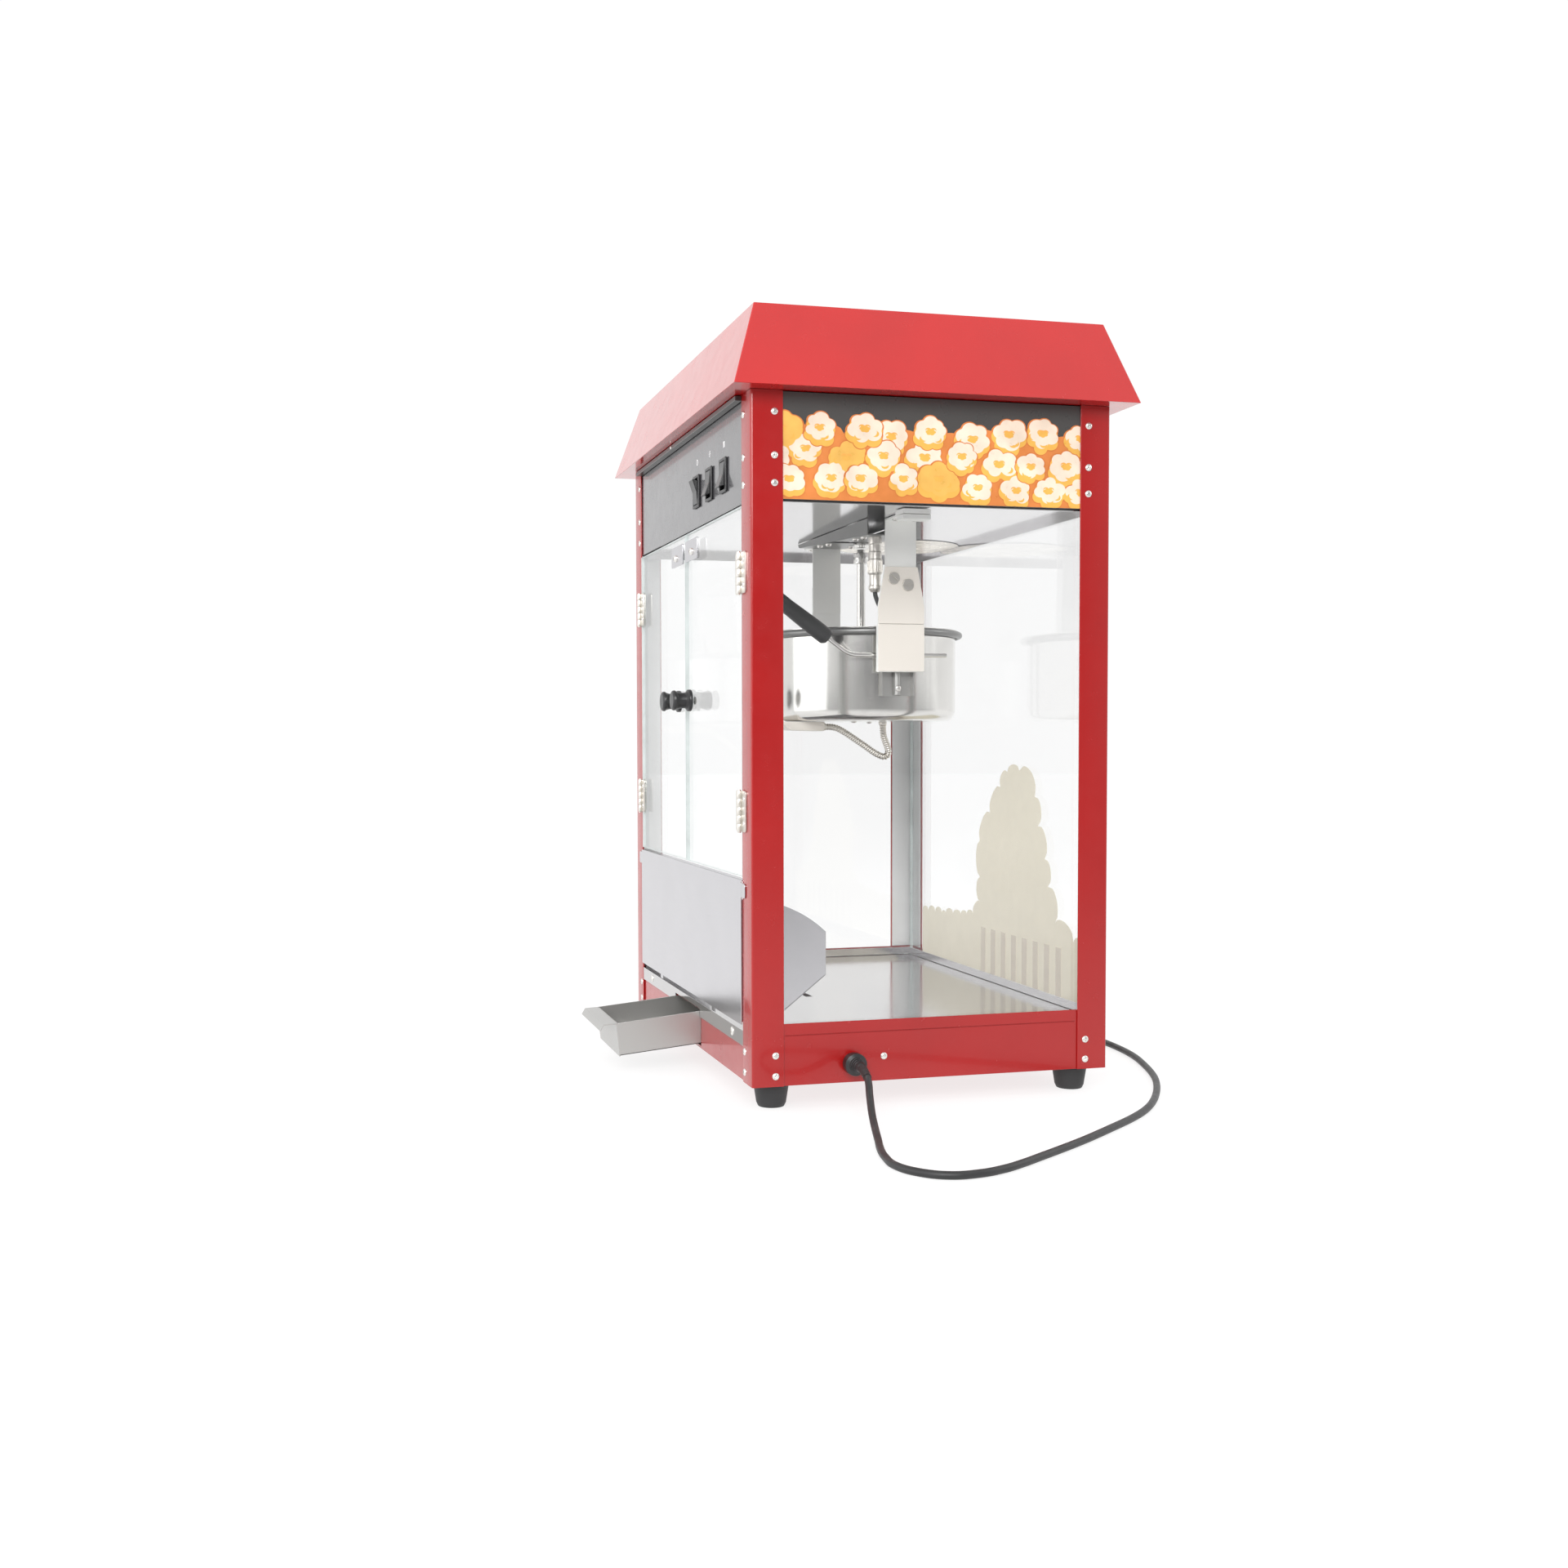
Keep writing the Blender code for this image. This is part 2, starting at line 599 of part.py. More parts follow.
def make_kettle():
    """Bowl with a rolled rim inside a polished casing, with the heater ring between them."""
    centre = (0, KETTLE_Y, 0)
    bowl = [(0.1085, KETTLE_RIM), (0.1112, 0.4752), (RIM_RADIUS, 0.4735), (RIM_RADIUS, 0.4715),
            (0.1112, 0.4695), (0.1034, 0.4690), (0.1030, 0.4684), (0.1018, 0.4000),
            (0.0960, 0.3935), (0, 0.3935), (0, 0.3950), (0.0955, 0.3950), (0.1000, 0.4005),
            (0.1014, 0.4680), (0.1035, 0.4745)]
    pan = turned("kettle_pan", bowl, centre, DARK_STEEL, sides=40)
    casing = [(KETTLE_RADIUS, 0.4685), (KETTLE_RADIUS, 0.3880)]
    for i in range(1, 5):
        angle = math.pi / 2 * i / 4
        casing.append((KETTLE_RADIUS - 0.011 * (1 - math.cos(angle)),
                       0.3880 - 0.011 * math.sin(angle)))
    casing += [(0, KETTLE_BOTTOM), (0, KETTLE_BOTTOM + 0.0012)]
    casing += [(0.0938, KETTLE_BOTTOM + 0.0012), (0.1020, 0.3830), (0.1038, 0.3890),
               (0.1038, 0.4685)]
    shell = turned("kettle_casing", casing, centre, POLISHED, sides=40)
    ring = [(0.085, 0.3930), (0.085, 0.3820), (0.025, 0.3820), (0.025, 0.3930)]
    heater = turned("kettle_heater", ring, centre, DARK_STEEL, sides=32)
    pieces = [pan, shell, heater]
    for name, sign in SIDES.items():
        web = box("kettle_bracket_" + name, span(sign, 0.1053, 0.1067),
                  (KETTLE_Y - 0.0185, KETTLE_Y + 0.0185), (0.4030, 0.4438), STEEL)
        for side in (-1, 1):
            edge = KETTLE_Y + side * 0.0185
            join(web, box("flange", span(sign, 0.1060, 0.1142),
                          tuple(sorted((edge - side * 0.0014, edge - side * 0.0002))),
                          (0.4033, 0.4435), collection=CUTTERS))
        join(web,
             cylinder("boss", 0.0040, 0.0390, (sign * 0.1102, KETTLE_Y, 0.4237),
                      collection=CUTTERS, sides=20),
             cylinder("pivot_pin", 0.0030, 0.0130, (sign * 0.1165, KETTLE_Y, PIVOT_Z), "X",
                      collection=CUTTERS, sides=16))
        pieces.append(web)
    return pieces


def make_handle():
    """Bent rod along the kettle with a tapered grip on its raised end."""
    slope = math.radians(36)
    bend = Vector((ROD_X, FRONT + 0.151, ROD_Z))
    rise = Vector((0, -math.cos(slope), math.sin(slope)))
    path = [Vector((ROD_X, FRONT + 0.261, ROD_Z)), bend + Vector((0, 0.014, 0)),
            bend + Vector((0, 0.006, 0.0008)), bend + rise * 0.006 + Vector((0, 0.001, 0.0004)),
            bend + rise * 0.014]
    grip_start = bend + rise * 0.0285
    path.append(grip_start - rise * 0.0004)
    rod = tube("handle_rod", path, 0.0022, POLISHED, resolution=3)
    grip = [(0, 0), (0.0062, 0), (0.0090, 0.0040), (0.0092, 0.0180), (0.0080, 0.0560),
            (0.0086, 0.0900), (0.0084, 0.1010), (0.0062, 0.1060), (0, 0.1070)]
    grip.reverse()
    handle = turned("handle_grip", grip, grip_start, BLACK_PLASTIC, sides=24,
                    turn=(math.pi / 2 - slope, 0, 0))
    return [rod, handle]


def half_lid(name, side):
    """Half of a round lid, cut straight along the bar it hinges on."""
    count = 20
    edge = 0.0130
    start = math.asin(edge / 0.1080)
    angles = [start + (math.pi - 2 * start) * i / count for i in range(count + 1)]
    points = [(0.1080 * math.cos(a), side * 0.1080 * math.sin(a)) for a in angles]
    if side < 0:
        points.reverse()
    return outline(name, points, 0.0010, (0, KETTLE_Y, KETTLE_RIM + 0.0009), "XY", POLISHED)


def make_lids():
    bar = box("lid_bar", (-0.1075, 0.1075), (KETTLE_Y - 0.0120, KETTLE_Y + 0.0120),
              (KETTLE_RIM + GAP, KETTLE_RIM + 0.0020), STEEL)
    cut(bar, cylinder("shaft_hole", 0.0062, 0.02, (0, KETTLE_Y, KETTLE_RIM), collection=CUTTERS,
                      sides=16))
    front = half_lid("lid_front", -1)
    rear = half_lid("lid_rear", 1)
    return bar, front, rear


def make_stirrer():
    """Drive shaft with two sweeping arms just above the bowl's bottom."""
    shaft = cylinder("stirrer", SHAFT_RADIUS, 0.1735, (0, KETTLE_Y, 0.48425), mat=POLISHED,
                     sides=20)
    join(shaft, box("stir_arm", (-0.078, 0.078), (KETTLE_Y - 0.0030, KETTLE_Y + 0.0030),
                    (0.3985, 0.4025), collection=CUTTERS))
    for side in (-1, 1):
        join(shaft, box("stir_blade", span(side, 0.074, 0.079),
                        (KETTLE_Y - 0.0029, KETTLE_Y + 0.0029), (0.3984, 0.4200),
                        collection=CUTTERS))
    join(shaft, cylinder("drive_collar", 0.0085, 0.012, (0, KETTLE_Y, 0.5610), collection=CUTTERS,
                         sides=20))
    return shaft


def make_kettle_wiring():
    """Terminal box and armoured lead under the kettle."""
    bottom = KETTLE_BOTTOM - GAP
    terminal = box("terminal_box", (0.012, 0.044), (-0.089, -0.040), (bottom - 0.0095, bottom),
                   STEEL)
    bevel = terminal.modifiers.new("edges", "BEVEL")
    bevel.width = 0.0025
    bevel.segments = 1
    knots = [(0.028, -0.0388, 0.3710), (0.029, -0.020, 0.3690), (0.031, 0.006, 0.3530),
             (0.032, 0.024, 0.3410), (0.033, 0.0345, 0.3375), (0.036, 0.0375, 0.3440),
             (0.040, 0.0305, 0.3600), (0.042, 0.0285, bottom - 0.0002)]
    lead = tube("armoured_lead", spaced(knots, 0.0075), 0.0034, STEEL, resolution=3)
    return [terminal, lead]


# Drive, lamp and electrics -------------------------------------------------------------------

def make_drive():
    """Gear motor on the ceiling plate with its spindle and driving hub below."""
    motor_z = CEILING_Z + 0.0012 + GAP
    motor = box("gear_motor", (-0.045, 0.045), (KETTLE_Y - 0.0375, KETTLE_Y + 0.0375),
                (motor_z, motor_z + 0.040), GALVANISED)
    join(motor, cylinder("motor_can", 0.032, 0.052, (0, KETTLE_Y, motor_z + 0.0650),
                         collection=CUTTERS, sides=24))
    cut(motor, cylinder("spindle_bore", 0.0045, 0.02, (0, KETTLE_Y, motor_z), collection=CUTTERS,
                        sides=16))
    spindle = [(0, motor_z + 0.0080), (0.0040, motor_z + 0.0080), (0.0040, CEILING_Z - 0.0010),
               (0.0160, CEILING_Z - 0.0010), (0.0170, CEILING_Z - 0.0020),
               (0.0170, 0.5750), (0.0150, 0.5722), (0, 0.5722)]
    hub = turned("drive_hub", spindle, (0, KETTLE_Y, 0), BLACK_PLASTIC, sides=24)
    return motor, hub


def make_lamp():
    """Cabinet lamp above its round window in the ceiling."""
    base = CEILING_Z + 0.0012 + GAP
    bulb = [(0, base + 0.070), (0.013, base + 0.070), (0.0135, base + 0.048), (0.020, base + 0.038),
            (0.0270, base + 0.022), (0.0260, base + 0.010), (0.0170, base + 0.0015), (0, base)]
    return turned("cabinet_lamp", bulb, (-0.12, 0.09, 0), WARM_GLASS, sides=24)


def make_kettle_socket():
    """Plug and socket by the strap, with the short lead down to the kettle's pivot."""
    x = 0.1080
    y = -0.0055
    shape = [(0, CEILING_Z - GAP), (0.0100, CEILING_Z - GAP), (0.0100, 0.5760), (0.0078, 0.5745),
             (0.0078, 0.5480), (0.0086, 0.5470), (0.0086, 0.5330), (0.0070, 0.5310),
             (0.0070, 0.5200), (0.0050, 0.5130), (0, 0.5130)]
    socket = turned("kettle_plug_socket", shape, (x, y, 0), NICKEL, sides=24)
    outer = 0.1173
    knots = [(x, y, 0.5160), (x + 0.0003, y + 0.0002, 0.5100), (0.1125, -0.0040, 0.5020),
             (0.1165, -0.0015, 0.4940), (outer, 0.0040, 0.4840), (outer, 0.0095, 0.4735),
             (outer, 0.0140, 0.4620), (outer, 0.0170, 0.4530)]
    lead = tube("kettle_lead", spaced(knots, 0.006), 0.0024, RUBBER, collection=CUTTERS)
    lead = solid_from_curve(lead)
    return join(socket, lead)


def make_switches():
    """Three rocker switches through the control panel, the left one thrown the other way."""
    face = FRONT + SHEET + GAP
    z = level(SWITCH_LEVEL)
    for index, x in enumerate(SWITCH_XS):
        number = str(index + 1)
        bezel = box("switch_body_" + number, (x - 0.0125, x + 0.0125), (face - 0.0023, face - GAP),
                    (z - 0.0172, z + 0.0172), BLACK_PLASTIC)
        join(bezel, box("switch_case", (x - 0.0099, x + 0.0099), (face - 0.0010, face + 0.0200),
                        (z - 0.0149, z + 0.0149), collection=CUTTERS))
        cut(bezel, cut_box("switch_well", (x - 0.0088, x + 0.0088), (face - 0.01, face + 0.0085),
                           (z - 0.0141, z + 0.0141)))
        shape = [(-0.0042, 0.0128), (-0.0034, 0.0132), (0.0030, 0.0100), (0.0052, 0.0),
                 (0.0030, -0.0100), (-0.0034, -0.0132), (-0.0042, -0.0128), (-0.0026, 0.0)]
        shape.reverse()
        rocker = outline("switch_rocker_" + number, shape, 0.0168, (0, 0, 0), "YZ", BLACK_PLASTIC)
        axis = hang("rocker_axis_" + number, (0, 0, 0), rocker)
        axis.location = (x, face - 0.0010, z)
        axis.rotation_euler = (ROCKER_TILT if index == 0 else -ROCKER_TILT, 0, 0)


# Mains cord ----------------------------------------------------------------------------------

def make_cord():
    outer = RIGHT - SHEET - GAP
    gland = [(0, 0.0270), (0.0042, 0.0270), (0.0062, 0.0240), (0.0078, 0.0150), (0.0110, 0.0120),
             (0.0110, GAP), (0.0079, GAP), (0.0079, -0.0080), (0, -0.0080)]
    turned("cable_gland", gland, (outer, GLAND_Y, GLAND_Z), BLACK_PLASTIC, sides=24,
           turn=(0, math.pi / 2, 0))
    start = outer + 0.0270 + 2 * GAP
    route = [
        (start, GLAND_Y, GLAND_Z),
        (start + 0.010, GLAND_Y - 0.0008, GLAND_Z - 0.0006),
        (0.312, -0.0890, 0.0365),
        (0.350, -0.1000, 0.018),
        (0.400, -0.1130, 0.0060),
        (0.450, -0.1260, CORD_RADIUS + GAP),
        (0.492, -0.1250, CORD_RADIUS + GAP),
        (0.520, -0.0960, CORD_RADIUS + GAP),
        (0.515, -0.0500, CORD_RADIUS + GAP),
        (0.480, 0.0100, CORD_RADIUS + GAP),
        (0.425, 0.0900, CORD_RADIUS + GAP),
        (0.350, 0.1800, CORD_RADIUS + GAP),
        (0.250, 0.2480, CORD_RADIUS + GAP),
        (0.150, 0.2870, CORD_RADIUS + GAP),
        (0.080, 0.3010, CORD_RADIUS + GAP),
        (0.0062, COIL_Y + 0.0455, CORD_RADIUS + GAP),
    ]
    tube("power_cord", spaced(route, 0.0175), CORD_RADIUS, RUBBER)
    ring = [(0.0475, 0.0136), (0.0492, 0.0118), (0.0492, 0.0022), (0.0475, GAP), (0.0367, GAP),
            (0.0350, 0.0022), (0.0350, 0.0118), (0.0367, 0.0136)]
    coil = turned("cord_coil", ring, (-0.020, COIL_Y, 0), RUBBER, sides=32)
    tail_y = COIL_Y + 0.043
    tail = [(-0.0300, tail_y - 0.0007, 0.0085), (-0.0500, tail_y, 0.0125),
            (-0.0640, tail_y, 0.0160), (-0.0760, tail_y, 0.0190), (-0.0830, tail_y, PLUG_Z),
            (PLUG_X + 0.0480 + GAP, tail_y, PLUG_Z)]
    join(coil, solid_from_curve(tube("coil_tail", spaced(tail, 0.010), CORD_RADIUS, RUBBER,
                                     collection=CUTTERS)))
    plug = [(0, 0.0480), (0.0050, 0.0480), (0.0075, 0.0380), (0.0130, 0.0300), (0.0180, 0.0220),
            (0.0190, 0.0100), (0.0190, 0), (0, 0)]
    plug = turned("mains_plug", plug, (PLUG_X, tail_y, PLUG_Z), BLACK_PLASTIC, sides=24,
                  turn=(0, math.pi / 2, 0))
    for side in (-1, 1):
        join(plug, cylinder("plug_pin", 0.0024, 0.0210,
                            (PLUG_X - 0.0095, tail_y + side * 0.0095, PLUG_Z), "X",
                            collection=CUTTERS, sides=12))


def main():
    make_corner_posts()
    make_base()
    make_deck()
    make_deck_heater()
    make_feet()
    make_panes()
    make_header_panels()
    make_ceiling()
    make_roof()
    make_doors()
    make_flap()
    make_drawer()
    make_hangers()
    bar, front, rear = make_lids()
    kettle = make_kettle() + make_handle() + make_kettle_wiring() + [bar, make_stirrer()]
    axis = hang("kettle_axis", (0, KETTLE_Y, PIVOT_Z), *kettle)
    for lid, side in ((front, -1), (rear, 1)):
        hinge = hang(lid.name + "_axis", (0, KETTLE_Y + side * 0.0125, KETTLE_RIM + 0.0009), lid)
        hinge.parent = axis
        hinge.location = hinge.location - axis.location
    make_drive()
    make_lamp()
    make_kettle_socket()
    make_switches()
    make_cord()
    origin = bpy.data.objects.new("origin", None)
    origin.location = (0, ORIGIN_SHIFT, 0)
    PARTS.objects.link(origin)
    for obj in list(PARTS.objects):
        if obj.parent is None and obj is not origin:
            obj.parent = origin


main()
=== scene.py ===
"""Countertop popcorn maker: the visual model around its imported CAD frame."""
import math
import random

import bmesh
import bpy
from mathutils import Matrix, Vector


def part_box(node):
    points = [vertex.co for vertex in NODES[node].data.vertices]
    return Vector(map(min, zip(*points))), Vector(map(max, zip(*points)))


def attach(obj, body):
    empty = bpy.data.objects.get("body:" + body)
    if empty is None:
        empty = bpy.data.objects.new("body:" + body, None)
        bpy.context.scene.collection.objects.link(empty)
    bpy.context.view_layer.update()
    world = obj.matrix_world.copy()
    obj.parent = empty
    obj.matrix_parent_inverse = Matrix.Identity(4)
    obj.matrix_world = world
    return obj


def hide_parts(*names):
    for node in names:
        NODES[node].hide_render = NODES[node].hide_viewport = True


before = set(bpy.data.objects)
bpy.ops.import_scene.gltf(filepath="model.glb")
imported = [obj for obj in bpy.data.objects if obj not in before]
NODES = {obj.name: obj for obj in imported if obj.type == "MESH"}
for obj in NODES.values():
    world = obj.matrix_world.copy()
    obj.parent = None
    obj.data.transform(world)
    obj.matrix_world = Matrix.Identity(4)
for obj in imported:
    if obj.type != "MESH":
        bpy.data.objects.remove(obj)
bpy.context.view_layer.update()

# Sizes, in metres. Pieces are drawn about the middle of the cabinet's footprint. ---------------
SHEET = 0.0015
GAP = 0.0003
FOOT = 0.024
POST_TOP = 0.687
POST_LEG = 0.032
CEILING_Z = 0.590
HEADER_Z = 0.585
PANE = 0.004
POST_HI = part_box("corner_post_rear_right")[1]
POST_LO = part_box("corner_post_front_left")[0]
MID_Y = (POST_HI.y + POST_LO.y) / 2
RIGHT = POST_HI.x
INSIDE = RIGHT - SHEET - GAP
REAR = (POST_HI.y - POST_LO.y) / 2
FRONT = -REAR
HINGE_ZS = {"lower": 0.288, "upper": 0.5175}
KETTLE_Y = 0.0185
RIM_Z = 0.476
PLATE_X = 0.1234
CORD_RADIUS = 0.0035
SIDES = {"right": 1, "left": -1}


# Mesh helpers --------------------------------------------------------------------------------

def finish_mesh(name, bm, material, body, replaced=(), sharp=35, bevel=0.0, segments=2):
    """Turns a bmesh drawn about the cabinet's middle into a piece that rides on a body."""
    bmesh.ops.recalc_face_normals(bm, faces=bm.faces)
    bmesh.ops.translate(bm, verts=bm.verts, vec=(0, MID_Y, 0))
    mesh = bpy.data.meshes.new(name)
    bm.to_mesh(mesh)
    bm.free()
    mesh.shade_smooth()
    mesh.set_sharp_from_angle(angle=math.radians(sharp))
    obj = bpy.data.objects.new(name, mesh)
    bpy.context.scene.collection.objects.link(obj)
    mesh.materials.append(material)
    if bevel:
        soften(obj, bevel, segments)
    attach(obj, body)
    if replaced:
        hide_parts(*replaced)
    return obj


def soften(obj, width, segments=2):
    """Rounds the edges of sheet metal or a moulding."""
    bevel = obj.modifiers.new("edges", "BEVEL")
    bevel.width = width
    bevel.segments = segments
    bevel.limit_method = "ANGLE"
    bevel.angle_limit = math.radians(40)
    bevel.harden_normals = True
    bevel.use_clamp_overlap = True


def keep(node, material, bevel=0.0):
    """A CAD node that stays, with a better material and rounded edges."""
    obj = NODES[node]
    obj.data.materials.clear()
    obj.data.materials.append(material)
    weld = obj.modifiers.new("weld", "WELD")
    weld.merge_threshold = 2e-6
    if bevel:
        soften(obj, bevel)


def block(bm, xs, ys, zs):
    """A box between two bounds on each axis."""
    made = bmesh.ops.create_cube(bm, size=1.0)["verts"]
    spans = [sorted(pair) for pair in (xs, ys, zs)]
    for vert in made:
        vert.co = [s[0] if c < 0 else s[1] for c, s in zip(vert.co, spans)]
    return made


def spin(bm, profile, place=(0, 0, 0), turn=None, steps=64):
    """The solid swept by a profile of (radius, height) points about its axis."""
    matrix = Matrix.Translation(place) @ (turn or Matrix.Identity(3)).to_4x4()
    rings = []
    for radius, height in profile:
        count = 1 if radius < 1e-7 else steps
        angles = [2 * math.pi * i / steps for i in range(count)]
        rings.append([bm.verts.new(matrix @ Vector((radius * math.cos(a), radius * math.sin(a),
                                                    height))) for a in angles])
    pairs = list(zip(rings, rings[1:]))
    if profile[0][0] > 1e-7 and profile[-1][0] > 1e-7:
        pairs.append((rings[-1], rings[0]))
    for low, high in pairs:
        for i in range(steps):
            j = (i + 1) % steps
            corners = [low[i % len(low)], low[j % len(low)], high[j % len(high)],
                       high[i % len(high)]]
            corners = list(dict.fromkeys(corners))
            if len(corners) > 2:
                bm.faces.new(corners)


def fillet(points, radii, steps=4, loop=False):
    """Rounds the corners of a polyline in the plane. radii is one size or one for each point."""
    count = len(points)
    if not isinstance(radii, (list, tuple)):
        radii = [radii] * count
    made = []
    for i, here in enumerate(points):
        here = Vector(here)
        if (not loop and i in (0, count - 1)) or radii[i] <= 0:
            made.append(tuple(here))
            continue
        before = Vector(points[i - 1]) - here
        after = Vector(points[(i + 1) % count]) - here
        angle = before.angle(after)
        reach = min(radii[i] / math.tan(angle / 2), 0.48 * before.length, 0.48 * after.length)
        start = here + before.normalized() * reach
        end = here + after.normalized() * reach
        for k in range(steps + 1):
            t = k / steps
            made.append(tuple(start * (1 - t) ** 2 + here * 2 * t * (1 - t) + end * t ** 2))
    return made


PLANES = {
    "XY": lambda u, v, w: (u, v, w),
    "XZ": lambda u, v, w: (u, w, v),
    "YZ": lambda u, v, w: (w, u, v),
}


def slab(bm, points, low, high, plane="XY"):
    """A flat outline with thickness, from low to high across its plane."""
    to_space = PLANES[plane]
    bottom = [bm.verts.new(to_space(u, v, low)) for u, v in points]
    top = [bm.verts.new(to_space(u, v, high)) for u, v in points]
    bm.faces.new(bottom[::-1])
    bm.faces.new(top)
    for i in range(len(points)):
        j = (i + 1) % len(points)
        bm.faces.new((bottom[i], bottom[j], top[j], top[i]))


def move_new(bm, start, matrix):
    """Moves the points that a bmesh got since it had so many of them."""
    bm.verts.ensure_lookup_table()
    bmesh.ops.transform(bm, matrix=matrix, verts=bm.verts[start:])


def fill_faces(bm):
    """Splits the many-sided faces of flat outlines into triangles."""
    bm.normal_update()
    bmesh.ops.triangulate(bm, faces=[f for f in bm.faces if len(f.verts) > 4])


def tube(bm, points, radii, sides=20):
    """A round bar along a line, with one radius or one for each point."""
    points = [Vector(p) for p in points]
    if not isinstance(radii, (list, tuple)):
        radii = [radii] * len(points)
    rings = []
    normal = None
    for i, here in enumerate(points):
        ahead = points[min(i + 1, len(points) - 1)]
        behind = points[max(i - 1, 0)]
        forward = (ahead - behind).normalized()
        if normal is None:
            normal = forward.orthogonal().normalized()
        normal = (normal - forward * normal.dot(forward)).normalized()
        other = forward.cross(normal)
        rings.append([bm.verts.new(here + (normal * math.cos(a) + other * math.sin(a)) * radii[i])
                      for a in (2 * math.pi * k / sides for k in range(sides))])
    for low, high in zip(rings, rings[1:]):
        for i in range(sides):
            j = (i + 1) % sides
            bm.faces.new((low[i], low[j], high[j], high[i]))
    bm.faces.new(rings[0][::-1])
    bm.faces.new(rings[-1])


def spaced(points, step):
    """Evenly spaced points along a smooth curve through the given ones."""
    points = [Vector(p) for p in points]
    ends = [2 * points[0] - points[1]] + points + [2 * points[-1] - points[-2]]
    fine = []
    for p0, p1, p2, p3 in zip(ends, ends[1:], ends[2:], ends[3:]):
        for k in range(24):
            t = k / 24
            fine.append(0.5 * (2 * p1 + (p2 - p0) * t + (2 * p0 - 5 * p1 + 4 * p2 - p3) * t ** 2
                               + (3 * p1 - p0 - 3 * p2 + p3) * t ** 3))
    fine.append(points[-1])
    total = sum((b - a).length for a, b in zip(fine, fine[1:]))
    count = max(2, round(total / step))
    made = [fine[0]]
    run = 0.0
    for a, b in zip(fine, fine[1:]):
        length = (b - a).length
        while len(made) < count and run + length >= total * len(made) / count:
            made.append(a.lerp(b, (total * len(made) / count - run) / length))
        run += length
    made.append(fine[-1])
    return made


def carve(obj, cutter):
    """Cuts a bmesh drawn in the row frame out of a piece."""
    bmesh.ops.recalc_face_normals(cutter, faces=cutter.faces)
    mesh = bpy.data.meshes.new("cutter")
    cutter.to_mesh(mesh)
    cutter.free()
    tool = bpy.data.objects.new("cutter", mesh)
    bpy.context.scene.collection.objects.link(tool)
    cut = obj.modifiers.new("cut", "BOOLEAN")
    cut.object = tool
    cut.solver = "EXACT"
    bpy.context.view_layer.update()
    result = bpy.data.meshes.new_from_object(
        obj.evaluated_get(bpy.context.evaluated_depsgraph_get()))
    obj.modifiers.remove(cut)
    obj.data = result
    bpy.data.objects.remove(tool)


# Materials -----------------------------------------------------------------------------------

class Shader:
    """A Principled material and the nodes that vary it."""

    def __init__(self, name, colour, roughness, metallic=0.0):
        self.material = bpy.data.materials.new(name)
        self.material.use_nodes = True
        self.tree = self.material.node_tree
        self.main = self.tree.nodes["Principled BSDF"]
        self.main.inputs["Base Color"].default_value = (*colour, 1)
        self.main.inputs["Roughness"].default_value = roughness
        self.main.inputs["Metallic"].default_value = metallic
        self.colour = colour
        self.roughness = roughness
        self.place = self.tree.nodes.new("ShaderNodeTexCoord").outputs["Object"]

    def set(self, **values):
        for key, value in values.items():
            self.main.inputs[key.replace("_", " ")].default_value = value
        return self

    def node(self, kind, *links, **values):
        made = self.tree.nodes.new("ShaderNode" + kind)
        for key, value in values.items():
            if key in made.bl_rna.properties:
                setattr(made, key, value)
            else:
                made.inputs[key.replace("_", " ")].default_value = value
        for socket, source in links:
            self.tree.links.new(source, made.inputs[socket])
        return made

    def noise(self, scale, detail=3.0, stretch=(1, 1, 1), rough=0.55):
        mapping = self.node("Mapping", ("Vector", self.place), Scale=stretch)
        return self.node("TexNoise", ("Vector", mapping.outputs[0]), Scale=scale, Detail=detail,
                         Roughness=rough).outputs["Fac"]

    def spread(self, source, low, high, start=0.3, end=0.7):
        made = self.node("MapRange", ("Value", source))
        for key, value in (("From Min", start), ("From Max", end), ("To Min", low),
                           ("To Max", high)):
            made.inputs[key].default_value = value
        return made.outputs["Result"]

    def vary_colour(self, source, other, low=0.3, high=0.7):
        mix = self.node("Mix", data_type="RGBA")
        mix.inputs[6].default_value = (*self.colour, 1)
        mix.inputs[7].default_value = (*other, 1)
        self.tree.links.new(self.spread(source, 0, 1, low, high), mix.inputs[0])
        self.tree.links.new(mix.outputs[2], self.main.inputs["Base Color"])
        return self

    def vary_roughness(self, source, amount):
        self.tree.links.new(self.spread(source, self.roughness - amount,
                                        self.roughness + amount), self.main.inputs["Roughness"])
        return self

    def bump(self, source, depth, strength=1.0):
        made = self.node("Bump", ("Height", source), Strength=strength, Distance=depth)
        self.tree.links.new(made.outputs[0], self.main.inputs["Normal"])
        return self


def shade(colour, factor):
    return tuple(min(1.0, c * factor) for c in colour)


def paint(name, colour, roughness=0.22, peel=0.00004, coat=0.3):
    """Sprayed enamel with a fine orange peel."""
    made = Shader(name, colour, roughness).set(Coat_Weight=coat, Coat_Roughness=0.06)
    made.vary_colour(made.noise(9, 4), shade(colour, 0.88))
    made.vary_roughness(made.noise(60, 3), 0.04)
    return made.bump(made.noise(420, 2), peel).material


def metal(name, colour, roughness, stretch=(1, 1, 1), scale=1200, depth=0.000003, mottle=0.96,
          metallic=1.0):
    """Bare metal with a fine grain that runs across the stretched axes."""
    made = Shader(name, colour, roughness, metallic)
    grain = made.noise(scale, 3, stretch, 0.6)
    made.vary_colour(made.noise(14, 4), shade(colour, mottle))
    made.vary_roughness(grain, roughness * 0.12)
    return made.bump(grain, depth).material


